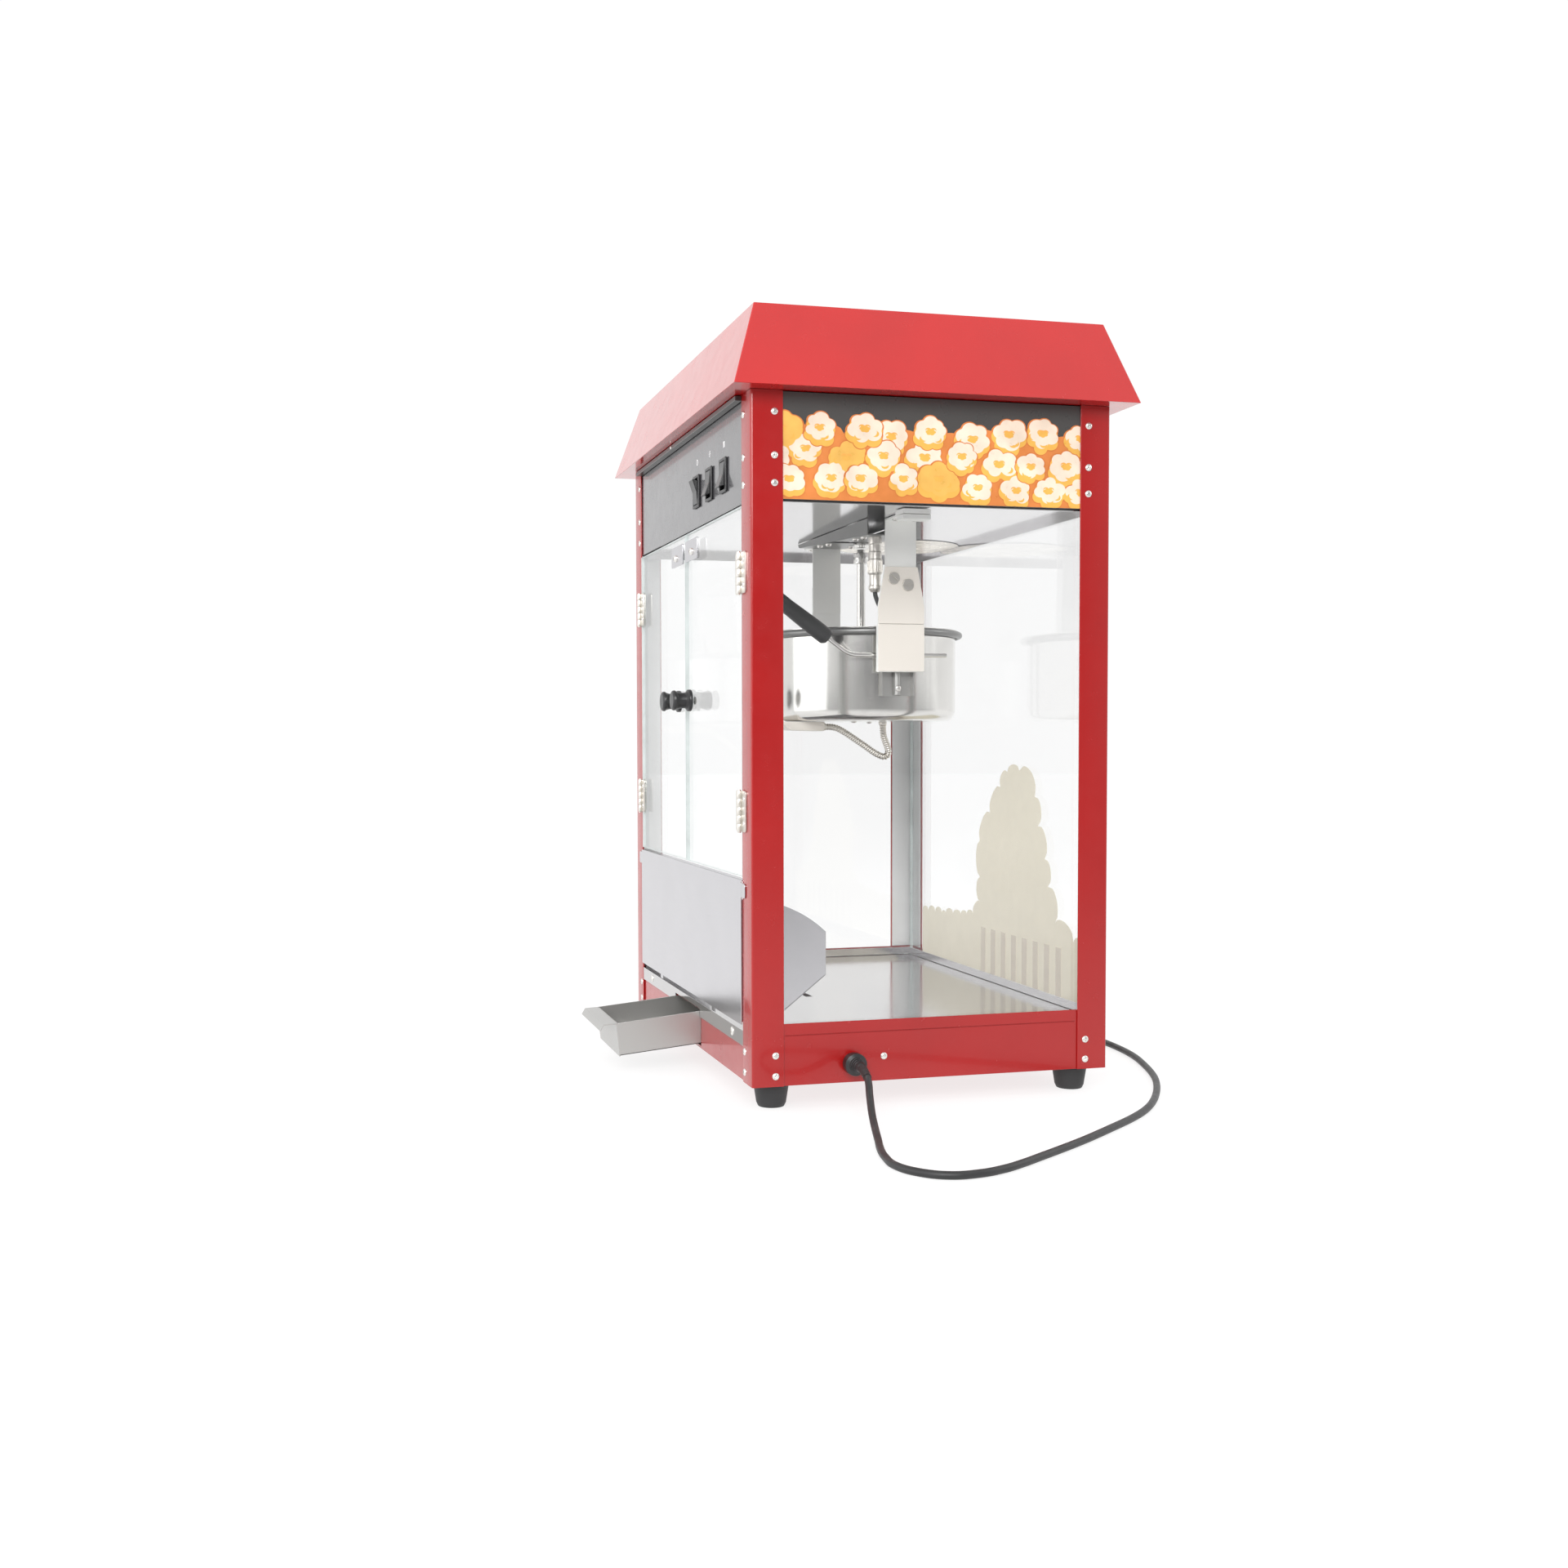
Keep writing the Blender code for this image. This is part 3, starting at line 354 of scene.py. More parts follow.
def plastic(name, colour, roughness=0.38, depth=0.00003, scale=900):
    """Moulded plastic or rubber with a fine texture."""
    made = Shader(name, colour, roughness)
    made.vary_colour(made.noise(30, 4), tuple(c * 1.35 + 0.004 for c in colour))
    made.vary_roughness(made.noise(120, 3), 0.05)
    return made.bump(made.noise(scale, 2), depth).material


def pane(name, tint, index=1.5, haze=0.004):
    """Clear sheet: each face mirrors what it doesn't pass, seen from either side."""
    made = Shader(name, tint, 0.012, 1.0)
    inside = made.node("NewGeometry").outputs["Backfacing"]
    ratio = made.spread(inside, index, 1 / index, 0, 1)
    fresnel = made.node("Fresnel", ("IOR", ratio))
    film_left = made.spread(made.noise(3.0, 3), haze, haze * 1.6)
    total = made.node("Math", (0, fresnel.outputs[0]), (1, film_left), operation="ADD",
                      use_clamp=True)
    made.tree.links.new(total.outputs[0], made.main.inputs["Alpha"])
    made.vary_roughness(made.noise(7, 3), 0.004)
    return made.material


RED = paint("red_enamel", (0.36, 0.006, 0.006), 0.24, coat=0.3)
# The roof's copy of the red enamel. Its lighter base colour is painted light, standing in for the
# stronger light on the roof's slopes. Its heavier coat gives real gloss.
LIT_ROOF_RED = paint("roof_enamel_painted_lighter", (0.52, 0.006, 0.006), 0.24, 0.000015, 0.9)
BLACK = paint("black_enamel", (0.062, 0.060, 0.058), 0.30, 0.00002, 0.1)
PANEL = paint("panel_enamel", (0.060, 0.058, 0.064), 0.26, 0.00001, 0.8)
LINER = metal("liner_steel", (0.92, 0.925, 0.92), 0.40, (1, 1, 0.04), metallic=0.2)
DECK = metal("deck_steel", (0.54, 0.53, 0.53), 0.13, (0.03, 1, 1))
CEILING = metal("ceiling_steel", (0.70, 0.69, 0.70), 0.12, (0.03, 1, 1))
BRUSHED = metal("brushed_steel", (0.50, 0.495, 0.48), 0.34, (1, 0.02, 1), metallic=0.85)
SATIN = metal("satin_steel", (0.58, 0.572, 0.595), 0.24, (0.02, 1, 1))
POLISHED = metal("polished_steel", (0.78, 0.77, 0.745), 0.15, (1, 1, 0.04))
STRAP = metal("strap_steel", (0.95, 0.955, 0.93), 0.36, (1, 1, 0.03), metallic=0.08)
WARM = metal("warm_nickel", (0.85, 0.80, 0.73), 0.36, (1, 1, 0.04), metallic=0.08)
NICKEL = metal("nickel_plate", (0.74, 0.71, 0.66), 0.32)
SCREW = metal("screw_plate", (0.80, 0.78, 0.75), 0.26, metallic=0.9)
ZINC = metal("zinc_plate", (0.40, 0.41, 0.42), 0.34, scale=500, mottle=0.85)
DARK = metal("dark_enamelled_steel", (0.24, 0.24, 0.235), 0.34)
RUBBER = plastic("black_rubber", (0.018, 0.018, 0.019), 0.55, 0.00004, 700)
BLACK_PLASTIC = plastic("black_plastic", (0.014, 0.014, 0.015), 0.32)
CORD = plastic("cord_jacket", (0.017, 0.017, 0.018), 0.45, 0.00003, 1200)
CLEAR = pane("clear_acrylic", (0.97, 0.98, 0.98))
PANE_EDGE = plastic("pane_edge", (0.50, 0.56, 0.55), 0.30, 0.00002, 300)
PAN = metal("pan_steel", (0.22, 0.22, 0.217), 0.34, metallic=0.8)
GLOSS_BLACK = plastic("gloss_black_plastic", (0.010, 0.010, 0.011), 0.20, 0.00001)
FROSTED = plastic("frosted_glass", (0.95, 0.90, 0.80), 0.25, 0.00001)
PRINT_WHITE = plastic("print_white", (0.75, 0.75, 0.75), 0.4, 0.000005)
PRINT_ORANGE = plastic("print_orange", (0.54, 0.175, 0.042), 0.32, 0.000005)
PRINT_BROWN = plastic("print_brown", (0.50, 0.150, 0.035), 0.32, 0.000005)
PRINT_YELLOW = plastic("print_yellow", (0.64, 0.345, 0.065), 0.32, 0.000005)
PRINT_GOLD = plastic("print_gold", (0.64, 0.36, 0.080), 0.32, 0.000005)
PRINT_AMBER = plastic("print_amber", (0.75, 0.33, 0.070), 0.32, 0.000005)
PRINT_CREAM = plastic("print_cream", (0.66, 0.55, 0.44), 0.32, 0.000005)


def film(name, colour, solid):
    """Thin translucent transfer on a pane."""
    made = Shader(name, colour, 0.4)
    made.tree.links.new(made.spread(made.noise(25, 3), solid - 0.03, solid + 0.03),
                        made.main.inputs["Alpha"])
    return made.material


TRANSFER = film("cream_transfer", (0.87, 0.82, 0.68), 0.80)
STRIPE = film("stripe_transfer", (0.90, 0.83, 0.73), 0.50)


# Camera and stage ----------------------------------------------------------------------------

def make_camera():
    yaw = math.radians(13.933)
    pitch = math.radians(2.304)
    roll = math.radians(-0.238)
    forward = Vector((-math.cos(yaw) * math.cos(pitch), math.sin(yaw) * math.cos(pitch),
                      -math.sin(pitch)))
    right = forward.cross(Vector((0, 0, 1))).normalized()
    up = right.cross(forward)
    across = right * math.cos(roll) + up * math.sin(roll)
    upward = up * math.cos(roll) - right * math.sin(roll)
    data = bpy.data.cameras.new("camera")
    data.sensor_width = 36.0
    data.lens = 36.515
    data.shift_x = 0.0620
    data.shift_y = 0.0118
    data.clip_start = 0.01
    obj = bpy.data.objects.new("camera", data)
    axes = Matrix((across, upward, -forward)).transposed().to_4x4()
    obj.matrix_world = Matrix.Translation((1.70743, MID_Y - 0.60938, 0.35859)) @ axes
    bpy.context.scene.collection.objects.link(obj)
    bpy.context.scene.camera = obj


def area_light(name, place, target, size, power, colour=(1, 1, 1)):
    data = bpy.data.lights.new(name, "AREA")
    data.shape = "RECTANGLE"
    data.size, data.size_y = size
    data.energy = power
    data.color = colour
    obj = bpy.data.objects.new(name, data)
    obj.location = place
    aim = Vector(target) - Vector(place)
    obj.rotation_euler = aim.to_track_quat("-Z", "Y").to_euler()
    bpy.context.scene.collection.objects.link(obj)


def make_stage():
    """White floor, and a world that is white but for a greyer band behind the camera."""
    scene = bpy.context.scene
    scene.view_settings.view_transform = "Standard"
    bm = bmesh.new()
    bmesh.ops.create_circle(bm, cap_ends=True, segments=96, radius=14.0)
    mesh = bpy.data.meshes.new("floor")
    bm.to_mesh(mesh)
    bm.free()
    floor = bpy.data.objects.new("floor", mesh)
    scene.collection.objects.link(floor)
    white = Shader("studio_floor", (0.20, 0.20, 0.20), 0.9)
    white.vary_colour(white.noise(2, 2), (0.195, 0.195, 0.195))
    white.set(Emission_Color=(1, 1, 1, 1))
    reach = white.node("SeparateXYZ", ("Vector", white.place)).outputs["X"]
    lit = white.node("Mix", data_type="FLOAT")
    lit.inputs[3].default_value = 0.78
    white.tree.links.new(white.node("LightPath").outputs["Is Camera Ray"], lit.inputs[0])
    white.tree.links.new(white.spread(reach, 0.80, 0.20, 0.4, 2.4), lit.inputs[2])
    white.tree.links.new(lit.outputs[0], white.main.inputs["Emission Strength"])
    mesh.materials.append(white.material)
    world = bpy.data.worlds.new("studio")
    world.use_nodes = True
    scene.world = world
    tree = world.node_tree
    back = tree.nodes["Background"]
    coord = tree.nodes.new("ShaderNodeTexCoord")
    split = tree.nodes.new("ShaderNodeSeparateXYZ")
    ramp = tree.nodes.new("ShaderNodeValToRGB")
    tree.links.new(coord.outputs["Generated"], split.inputs[0])
    tree.links.new(split.outputs["X"], ramp.inputs[0])
    seen = tree.nodes.new("ShaderNodeLightPath")
    mix = tree.nodes.new("ShaderNodeMix")
    mix.data_type = "RGBA"
    mix.inputs[7].default_value = (1, 1, 1, 1)
    tree.links.new(seen.outputs["Is Camera Ray"], mix.inputs[0])
    tree.links.new(ramp.outputs[0], mix.inputs[6])
    tree.links.new(mix.outputs[2], back.inputs[0])
    ramp.color_ramp.elements[0].position = 0.20
    ramp.color_ramp.elements[0].color = (1, 1, 1, 1)
    ramp.color_ramp.elements[1].position = 1.0
    ramp.color_ramp.elements[1].color = (0.14, 0.14, 0.145, 1)
    for place, grey in ((0.60, 0.86), (0.85, 0.52)):
        ramp.color_ramp.elements.new(place).color = (grey, grey, grey, 1)
    back.inputs[1].default_value = 1.02
    area_light("key", (0.22, -2.6, 1.0), (0, 0, 0.4), (2.4, 1.8), 19)
    area_light("front", (3.2, -1.3, 1.9), (0, 0, 0.45), (2.4, 1.8), 105)
    area_light("fill", (0.6, 2.6, 1.6), (0, 0, 0.4), (1.6, 1.6), 10)


make_camera()
make_stage()


# Cord ----------------------------------------------------------------------------------------

FLOOR = CORD_RADIUS + GAP
GLAND = (INSIDE, -0.0845, 0.043)
CORD_START = (INSIDE + 0.0270 + 2 * GAP, GLAND[1], GLAND[2])
COIL_X, COIL_Y = -0.020, 0.258
PLUG = (-0.1383, COIL_Y + 0.043, 0.0194)
ALONG_X = Matrix.Rotation(math.pi / 2, 3, "Y")


def cord_line():
    """From the gland down to the floor, round the cabinet, three turns, and up to the plug."""
    x, y, z = CORD_START
    route = [CORD_START, (x + 0.010, y - 0.0008, z - 0.0006),
             (0.312, -0.0890, 0.0365), (0.350, -0.1000, 0.018), (0.400, -0.1130, 0.0060),
             (0.450, -0.1260, FLOOR), (0.492, -0.1250, FLOOR), (0.520, -0.0960, FLOOR),
             (0.515, -0.0500, FLOOR), (0.480, 0.0100, FLOOR), (0.425, 0.0900, FLOOR),
             (0.350, 0.1800, FLOOR), (0.250, 0.2480, FLOOR), (0.150, 0.2870, FLOOR),
             (0.080, 0.3010, FLOOR), (0.0062, COIL_Y + 0.0455, FLOOR)]
    points = spaced(route, 0.026)
    per_turn = 16
    # Radius where each turn starts and ends, and height where it starts and ends.
    turns = ((0.0455, 0.0385, FLOOR, FLOOR), (0.0385, 0.0385, FLOOR, 0.0075),
             (0.0385, 0.0425, 0.0100, 0.0100))
    for first, last, low, high in turns:
        for k in range(per_turn):
            part = k / per_turn
            ease = part * part * (3 - 2 * part)
            radius = first + (last - first) * ease
            angle = math.pi / 2 + 2 * math.pi * part
            points.append(Vector((COIL_X + radius * math.cos(angle),
                                  COIL_Y + radius * math.sin(angle),
                                  low + (high - low) * ease)))
    points.append(Vector((COIL_X, COIL_Y + 0.0425, 0.0104)))
    for x, z in ((-0.036, 0.0116), (-0.050, 0.0132), (-0.064, 0.0160), (-0.076, 0.0186),
                 (PLUG[0] + 0.0483, PLUG[2])):
        points.append(Vector((x, PLUG[1], z)))
    return points


def make_gland(points):
    """Ribbed gland in the housing's wall, and the sleeve that the cord leaves it by."""
    bm = bmesh.new()
    spin(bm, fillet([(0, 0.0262), (0.0043, 0.0262), (0.0050, 0.0240), (0.0062, 0.0170),
                     (0.0076, 0.0125), (0.0110, 0.0115), (0.0110, 0.0034), (0.0102, 0.0030),
                     (0.0102, GAP), (0.0079, GAP), (0.0079, -0.0080), (0, -0.0080)],
                    0.0006, 3), GLAND, ALONG_X, 48)
    for k in range(3):
        at = 0.0152 + 0.0032 * k
        size = 0.0074 - 0.0007 * k
        spin(bm, fillet([(0, at + 0.0007), (size, at + 0.0007), (size, at - 0.0007),
                         (0, at - 0.0007)], 0.0005, 3), GLAND, ALONG_X, 48)
    gland = finish_mesh("cord_gland", bm, BLACK_PLASTIC, "cabinet", ["cable_gland"])
    bm = bmesh.new()
    dense = spaced(points[:3], 0.0025)[:10]
    sizes = [0.0043 - 0.00007 * i + (0.0004 if i % 3 == 0 else 0) for i in range(len(dense))]
    tube(bm, dense, sizes, 24)
    relief = finish_mesh("cord_strain_relief", bm, RUBBER, "cabinet",
                         sharp=60)
    return [gland, relief]


def make_plug():
    """Round two-pin plug with a ribbed neck."""
    bm = bmesh.new()
    spin(bm, fillet([(0, 0.0480), (0.0050, 0.0480), (0.0058, 0.0420), (0.0080, 0.0360),
                     (0.0130, 0.0300), (0.0176, 0.0230), (0.0190, 0.0120), (0.0190, 0.0040),
                     (0.0180, 0.0030), (0.0180, 0), (0.0150, 0), (0.0150, 0.0030), (0, 0.0030)],
                    0.0008, 3), PLUG, ALONG_X, 64)
    for k in range(4):
        at = 0.0395 + 0.0022 * k
        spin(bm, [(0, at + 0.0005), (0.0066, at + 0.0005), (0.0066, at - 0.0005),
                  (0, at - 0.0005)], PLUG, ALONG_X, 40)
    body = finish_mesh("mains_plug_body", bm, BLACK_PLASTIC, "cabinet", ["mains_plug"])
    bm = bmesh.new()
    x, y, z = PLUG
    for side in (-1, 1):
        spin(bm, fillet([(0, 0.0030), (0.0024, 0.0030), (0.0024, -0.0190), (0, -0.0199)],
                        0.0008, 3), (x, y + side * 0.0095, z), ALONG_X, 24)
    pins = finish_mesh("mains_plug_pins", bm, NICKEL, "cabinet")
    return [body, pins]


def make_cord():
    """1.8 m lead: from the gland over the floor to a coil behind the cabinet, and its plug."""
    points = cord_line()
    curve = bpy.data.curves.new("mains_cord", "CURVE")
    curve.dimensions = "3D"
    curve.bevel_depth = CORD_RADIUS
    curve.bevel_resolution = 5
    curve.use_fill_caps = True
    curve.resolution_u = 6
    spline = curve.splines.new("BEZIER")
    spline.bezier_points.add(len(points) - 1)
    for knot, point in zip(spline.bezier_points, points):
        knot.co = point + Vector((0, MID_Y, 0))
        knot.handle_left_type = "AUTO"
        knot.handle_right_type = "AUTO"
    cord = bpy.data.objects.new("mains_cord", curve)
    bpy.context.scene.collection.objects.link(cord)
    curve.materials.append(CORD)
    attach(cord, "cabinet")
    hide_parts("power_cord", "cord_coil")
    make_gland(points) + make_plug()


# Cabinet -------------------------------------------------------------------------------------

CORNERS = {"front_right": (1, -1), "front_left": (-1, -1), "rear_right": (1, 1),
           "rear_left": (-1, 1)}


def corner_profile(sx, sy, outer, leg, sheet, bend):
    """L-shaped section with a round bend at the cabinet's corner."""
    x, y = RIGHT - outer, REAR - outer
    points = [(x - leg, y), (x, y), (x, y - leg), (x - sheet, y - leg),
              (x - sheet, y - sheet), (x - leg, y - sheet)]
    radii = [0.0005, bend, 0.0005, 0.0005, bend / 3, 0.0005]
    return [(sx * u, sy * v) for u, v in fillet(points, radii, 5, loop=True)]


def make_posts():
    for name, (sx, sy) in CORNERS.items():
        bm = bmesh.new()
        slab(bm, corner_profile(sx, sy, 0, POST_LEG, SHEET, 0.0024), FOOT, POST_TOP)
        finish_mesh("post_" + name, bm, RED, "cabinet", ["corner_post_" + name])
        bm = bmesh.new()
        slab(bm, corner_profile(sx, sy, SHEET + 0.0005, POST_LEG - 0.0035, 0.0011, 0.0015),
             0.0845, HEADER_Z - 0.0005)
        finish_mesh("post_liner_" + name, bm, LINER, "cabinet")


NORMALS = {
    "+X": Matrix.Rotation(math.pi / 2, 3, "Y"),
    "-X": Matrix.Rotation(-math.pi / 2, 3, "Y"),
    "+Y": Matrix.Rotation(-math.pi / 2, 3, "X"),
    "-Y": Matrix.Rotation(math.pi / 2, 3, "X"),
    "-Z": Matrix.Rotation(math.pi, 3, "X"),
}


def recess(bm, matrix, reach, width, low, high):
    """A cross as one solid to cut with."""
    half = width / 2
    quarter = [(reach, -half), (reach, half), (half, half)]
    outline = []
    for turn in range(4):
        spun = Matrix.Rotation(turn * math.pi / 2, 2)
        outline += [tuple(spun @ Vector(p)) for p in quarter]
    start = len(bm.verts)
    slab(bm, outline, low, high)
    move_new(bm, start, matrix)


def screws(name, places, facing, body, radius=0.0036, height=0.0017):
    """Pan heads with a cross recess, each turned a little further than the last."""
    turn = NORMALS[facing]
    heads = bmesh.new()
    marks = bmesh.new()
    profile = [(0, height), (radius * 0.45, height * 0.95), (radius * 0.75, height * 0.74),
               (radius * 0.93, height * 0.42), (radius, height * 0.1), (radius, 0), (0, 0)]
    for index, place in enumerate(places):
        spin(heads, profile, place, turn, 28)
        matrix = (Matrix.Translation(Vector(place) + Vector((0, MID_Y, 0)))
                  @ (turn @ Matrix.Rotation(0.4 + 0.9 * index, 3, "Z")).to_4x4())
        recess(marks, matrix, radius * 0.55, radius * 0.26, height * 0.4, height * 1.5)
    obj = finish_mesh(name, heads, SCREW, body, sharp=30)
    carve(obj, marks)
    obj.data.shade_smooth()
    obj.data.set_sharp_from_angle(angle=math.radians(30))


def make_cabinet_screws():
    levels = (0.667, 0.626, 0.600, 0.054, 0.034)
    for side, sign in SIDES.items():
        facing = "+X" if sign > 0 else "-X"
        screws("screws_%s_side" % side,
               [(sign * RIGHT, y, z) for y in (-0.163, 0.163) for z in levels], facing, "cabinet")
        screws("screws_%s_base" % side, [(sign * INSIDE, -0.052, 0.048)], facing,
               "cabinet")
    for end, y, facing in (("front", FRONT, "-Y"), ("rear", REAR, "+Y")):
        screws("screws_%s" % end, [(x, y, z + 0.0005) for x in (-0.233, 0.233) for z in levels],
               facing, "cabinet")
    screws("screws_strip", [(-0.176, FRONT + GAP, 0.0665), (0.186, FRONT + GAP, 0.0665)], "-Y",
           "cabinet", 0.0044, 0.0016)


def make_shell():
    keep("base_housing", RED, 0.0005)
    # The roof takes the lighter red: painted light for the stronger light on its slopes.
    keep("roof", LIT_ROOF_RED, 0.0011)
    for name in ("header_panel_right", "header_panel_left", "header_panel_rear"):
        keep(name, BLACK, 0.0003)
    keep("control_panel", PANEL, 0.0003)
    keep("deck_tray", DECK, 0.0003)
    keep("ceiling_plate", CEILING)
    keep("deck_heater", ZINC, 0.0004)
    keep("gear_motor", ZINC, 0.0008)
    keep("drawer_runner", ZINC, 0.0003)


def make_trim():
    """Channels that hold the panes, and the hem under the roof's front edge."""
    bm = bmesh.new()
    pane_x = RIGHT - 2 * SHEET - 2 * GAP - PANE - GAP
    pane_y = REAR - 2 * SHEET - 2 * GAP - PANE - GAP
    lip = (0.5834, CEILING_Z + 0.0001)
    for sign in (-1, 1):
        block(bm, (sign * pane_x, sign * (pane_x - 0.0016)), (-pane_y, pane_y), lip)
        block(bm, (-pane_x + 0.002, pane_x - 0.002), (sign * pane_y, sign * (pane_y - 0.0016)),
              lip)
    low = (0.0741, 0.0828)
    for sign in (-1, 1):
        block(bm, (sign * pane_x, sign * (pane_x - 0.0008)), (-pane_y + 0.001, pane_y), low)
    block(bm, (-pane_x + 0.0012, pane_x - 0.0012), (pane_y, pane_y - 0.0008), low)
    finish_mesh("pane_channels", bm, CEILING, "cabinet", bevel=0.0002)
    bm = bmesh.new()
    block(bm, (-0.2262, 0.2262), (FRONT - 0.0062, FRONT + 0.0012), (0.6820, 0.6868))
    finish_mesh("header_hem", bm, BLACK, "cabinet", bevel=0.0008)
    screws("screws_hem", [(-0.040, FRONT - 0.0062, 0.6845)], "-Y", "cabinet", 0.0021, 0.0010)


def make_feet():
    for name, (sx, sy) in CORNERS.items():
        bm = bmesh.new()
        spin(bm, fillet([(0, FOOT - GAP), (0.0180, FOOT - GAP), (0.0183, FOOT - 0.0030),
                         (0.0172, FOOT - 0.0036), (0.0146, 0.0040), (0.0128, 0.0002),
                         (0.0060, 0.0002), (0.0055, 0.0060), (0, 0.0060)], 0.0009, 4),
             (sx * (RIGHT - 0.027), sy * (REAR - 0.027), 0), steps=56)
        finish_mesh("rubber_foot_" + name, bm, RUBBER, "cabinet", ["foot_" + name])


# Panes ---------------------------------------------------------------------------------------

def clear_sheet(name, xs, ys, zs, thin, body, node):
    """A pane whose cut edges are duller than its faces."""
    bm = bmesh.new()
    block(bm, xs, ys, zs)
    obj = finish_mesh(name, bm, CLEAR, body, [node], sharp=20)
    obj.data.materials.append(PANE_EDGE)
    for face in obj.data.polygons:
        face.material_index = 0 if abs(face.normal[thin]) > 0.5 else 1


def make_panes():
    bottom = 0.0735 + GAP
    top = CEILING_Z - 0.0012
    face = RIGHT - 2 * SHEET - 2 * GAP
    for side, sign in SIDES.items():
        clear_sheet("pane_" + side, (sign * (face - PANE), sign * face),
                    (FRONT + 0.006, REAR - 0.006), (bottom, top), 0, "cabinet",
                    "side_glass_" + side)
    back = REAR - 2 * SHEET - 2 * GAP
    inner = face - PANE - GAP
    clear_sheet("pane_rear", (-inner, inner), (back - PANE, back), (bottom, top), 1, "cabinet",
                "rear_glass")
    for side, sign in SIDES.items():
        clear_sheet("door_pane_" + side, (sign * 0.0008, sign * 0.2255), (FRONT, FRONT + PANE),
                    (0.224, 0.582), 1, "door_" + side, "door_" + side)


def leaf(bm, sign, near, far, z):
    """Half of a butt hinge: a plate with round outer corners."""
    outline = [(sign * near, z - 0.0198), (sign * far, z - 0.0198), (sign * far, z + 0.0198),
               (sign * near, z + 0.0198)]
    slab(bm, fillet(outline, [0, 0.003, 0.003, 0], 4, loop=True), FRONT - 0.0015, FRONT - GAP,
         "XZ")


def make_hinge(side, sign, tag, z):
    """Butt hinge with five knuckles, whose outer leaf is on the post."""
    barrel_x = RIGHT - POST_LEG - 0.0002
    barrel_y = FRONT - 0.0030
    fixed = bmesh.new()
    moving = bmesh.new()
    for k in range(5):
        low = z - 0.020 + 0.008 * k + 0.00015
        target = fixed if k % 2 == 0 else moving
        spin(target, fillet([(0, low + 0.0077), (0.0024, low + 0.0077), (0.0024, low), (0, low)],
                            0.0003, 2), (sign * barrel_x, barrel_y, 0), steps=28)
        near = sign * (barrel_x - 0.0012 if k % 2 else barrel_x + 0.0012)
        block(target, (sign * barrel_x, near), (FRONT - 0.0022, FRONT - GAP), (low, low + 0.0077))
    for tip in (-0.0208, 0.0200):
        spin(fixed, fillet([(0, 0.0008), (0.0017, 0.0008), (0.0017, -0.0002), (0, -0.0002)],
                           0.0004, 3), (sign * barrel_x, barrel_y, z + tip), steps=24)
    leaf(fixed, sign, barrel_x + 0.0008, 0.2428, z)
    leaf(moving, sign, barrel_x - 0.0008, 0.2090, z)
    finish_mesh("hinge_frame_leaf_" + tag, fixed, NICKEL, "cabinet", ["hinge_" + tag])
    finish_mesh("hinge_door_leaf_" + tag, moving, NICKEL, "door_" + side)
    for part, x, body in (("frame", 0.2360, "cabinet"), ("door", 0.2160, "door_" + side)):
        screws("hinge_%s_screws_%s" % (part, tag),
               [(sign * x, FRONT - 0.0015, z + dz) for dz in (-0.012, 0.012)], "-Y", body,
               0.0026, 0.0010)


def make_doors():
    for side, sign in SIDES.items():
        body = "door_" + side
        bm = bmesh.new()
        spin(bm, fillet([(0, 0.0220), (0.0088, 0.0220), (0.0106, 0.0208), (0.0110, 0.0186),
                         (0.0096, 0.0162), (0.0087, 0.0128), (0.0085, 0.0070), (0.0102, 0.0048),
                         (0.0119, 0.0040), (0.0120, GAP), (0, GAP)], 0.0010, 4),
             (sign * 0.024, FRONT, 0.400), NORMALS["-Y"], 64)
        finish_mesh("knob_" + side, bm, BLACK_PLASTIC, body, ["door_knob_" + side],
                    sharp=50)
        screws("knob_screw_" + side, [(sign * 0.024, FRONT + PANE, 0.400)], "+Y", body, 0.0045,
               0.0020)
        bm = bmesh.new()
        outline = fillet([(sign * 0.006, 0.5510), (sign * 0.058, 0.5510), (sign * 0.058, 0.5735),
                          (sign * 0.006, 0.5735)], 0.0020, 4, loop=True)
        slab(bm, outline, FRONT - 0.0015, FRONT - GAP, "XZ")
        finish_mesh("catch_plate_" + side, bm, SATIN, body, bevel=0.0002)
        screws("catch_screw_" + side, [(sign * 0.036, FRONT - 0.0015, 0.5600)], "-Y", body,
               0.0040, 0.0032)
        for level_name, z in HINGE_ZS.items():
            make_hinge(side, sign, side + "_" + level_name, z)


# Flap and drawer -----------------------------------------------------------------------------

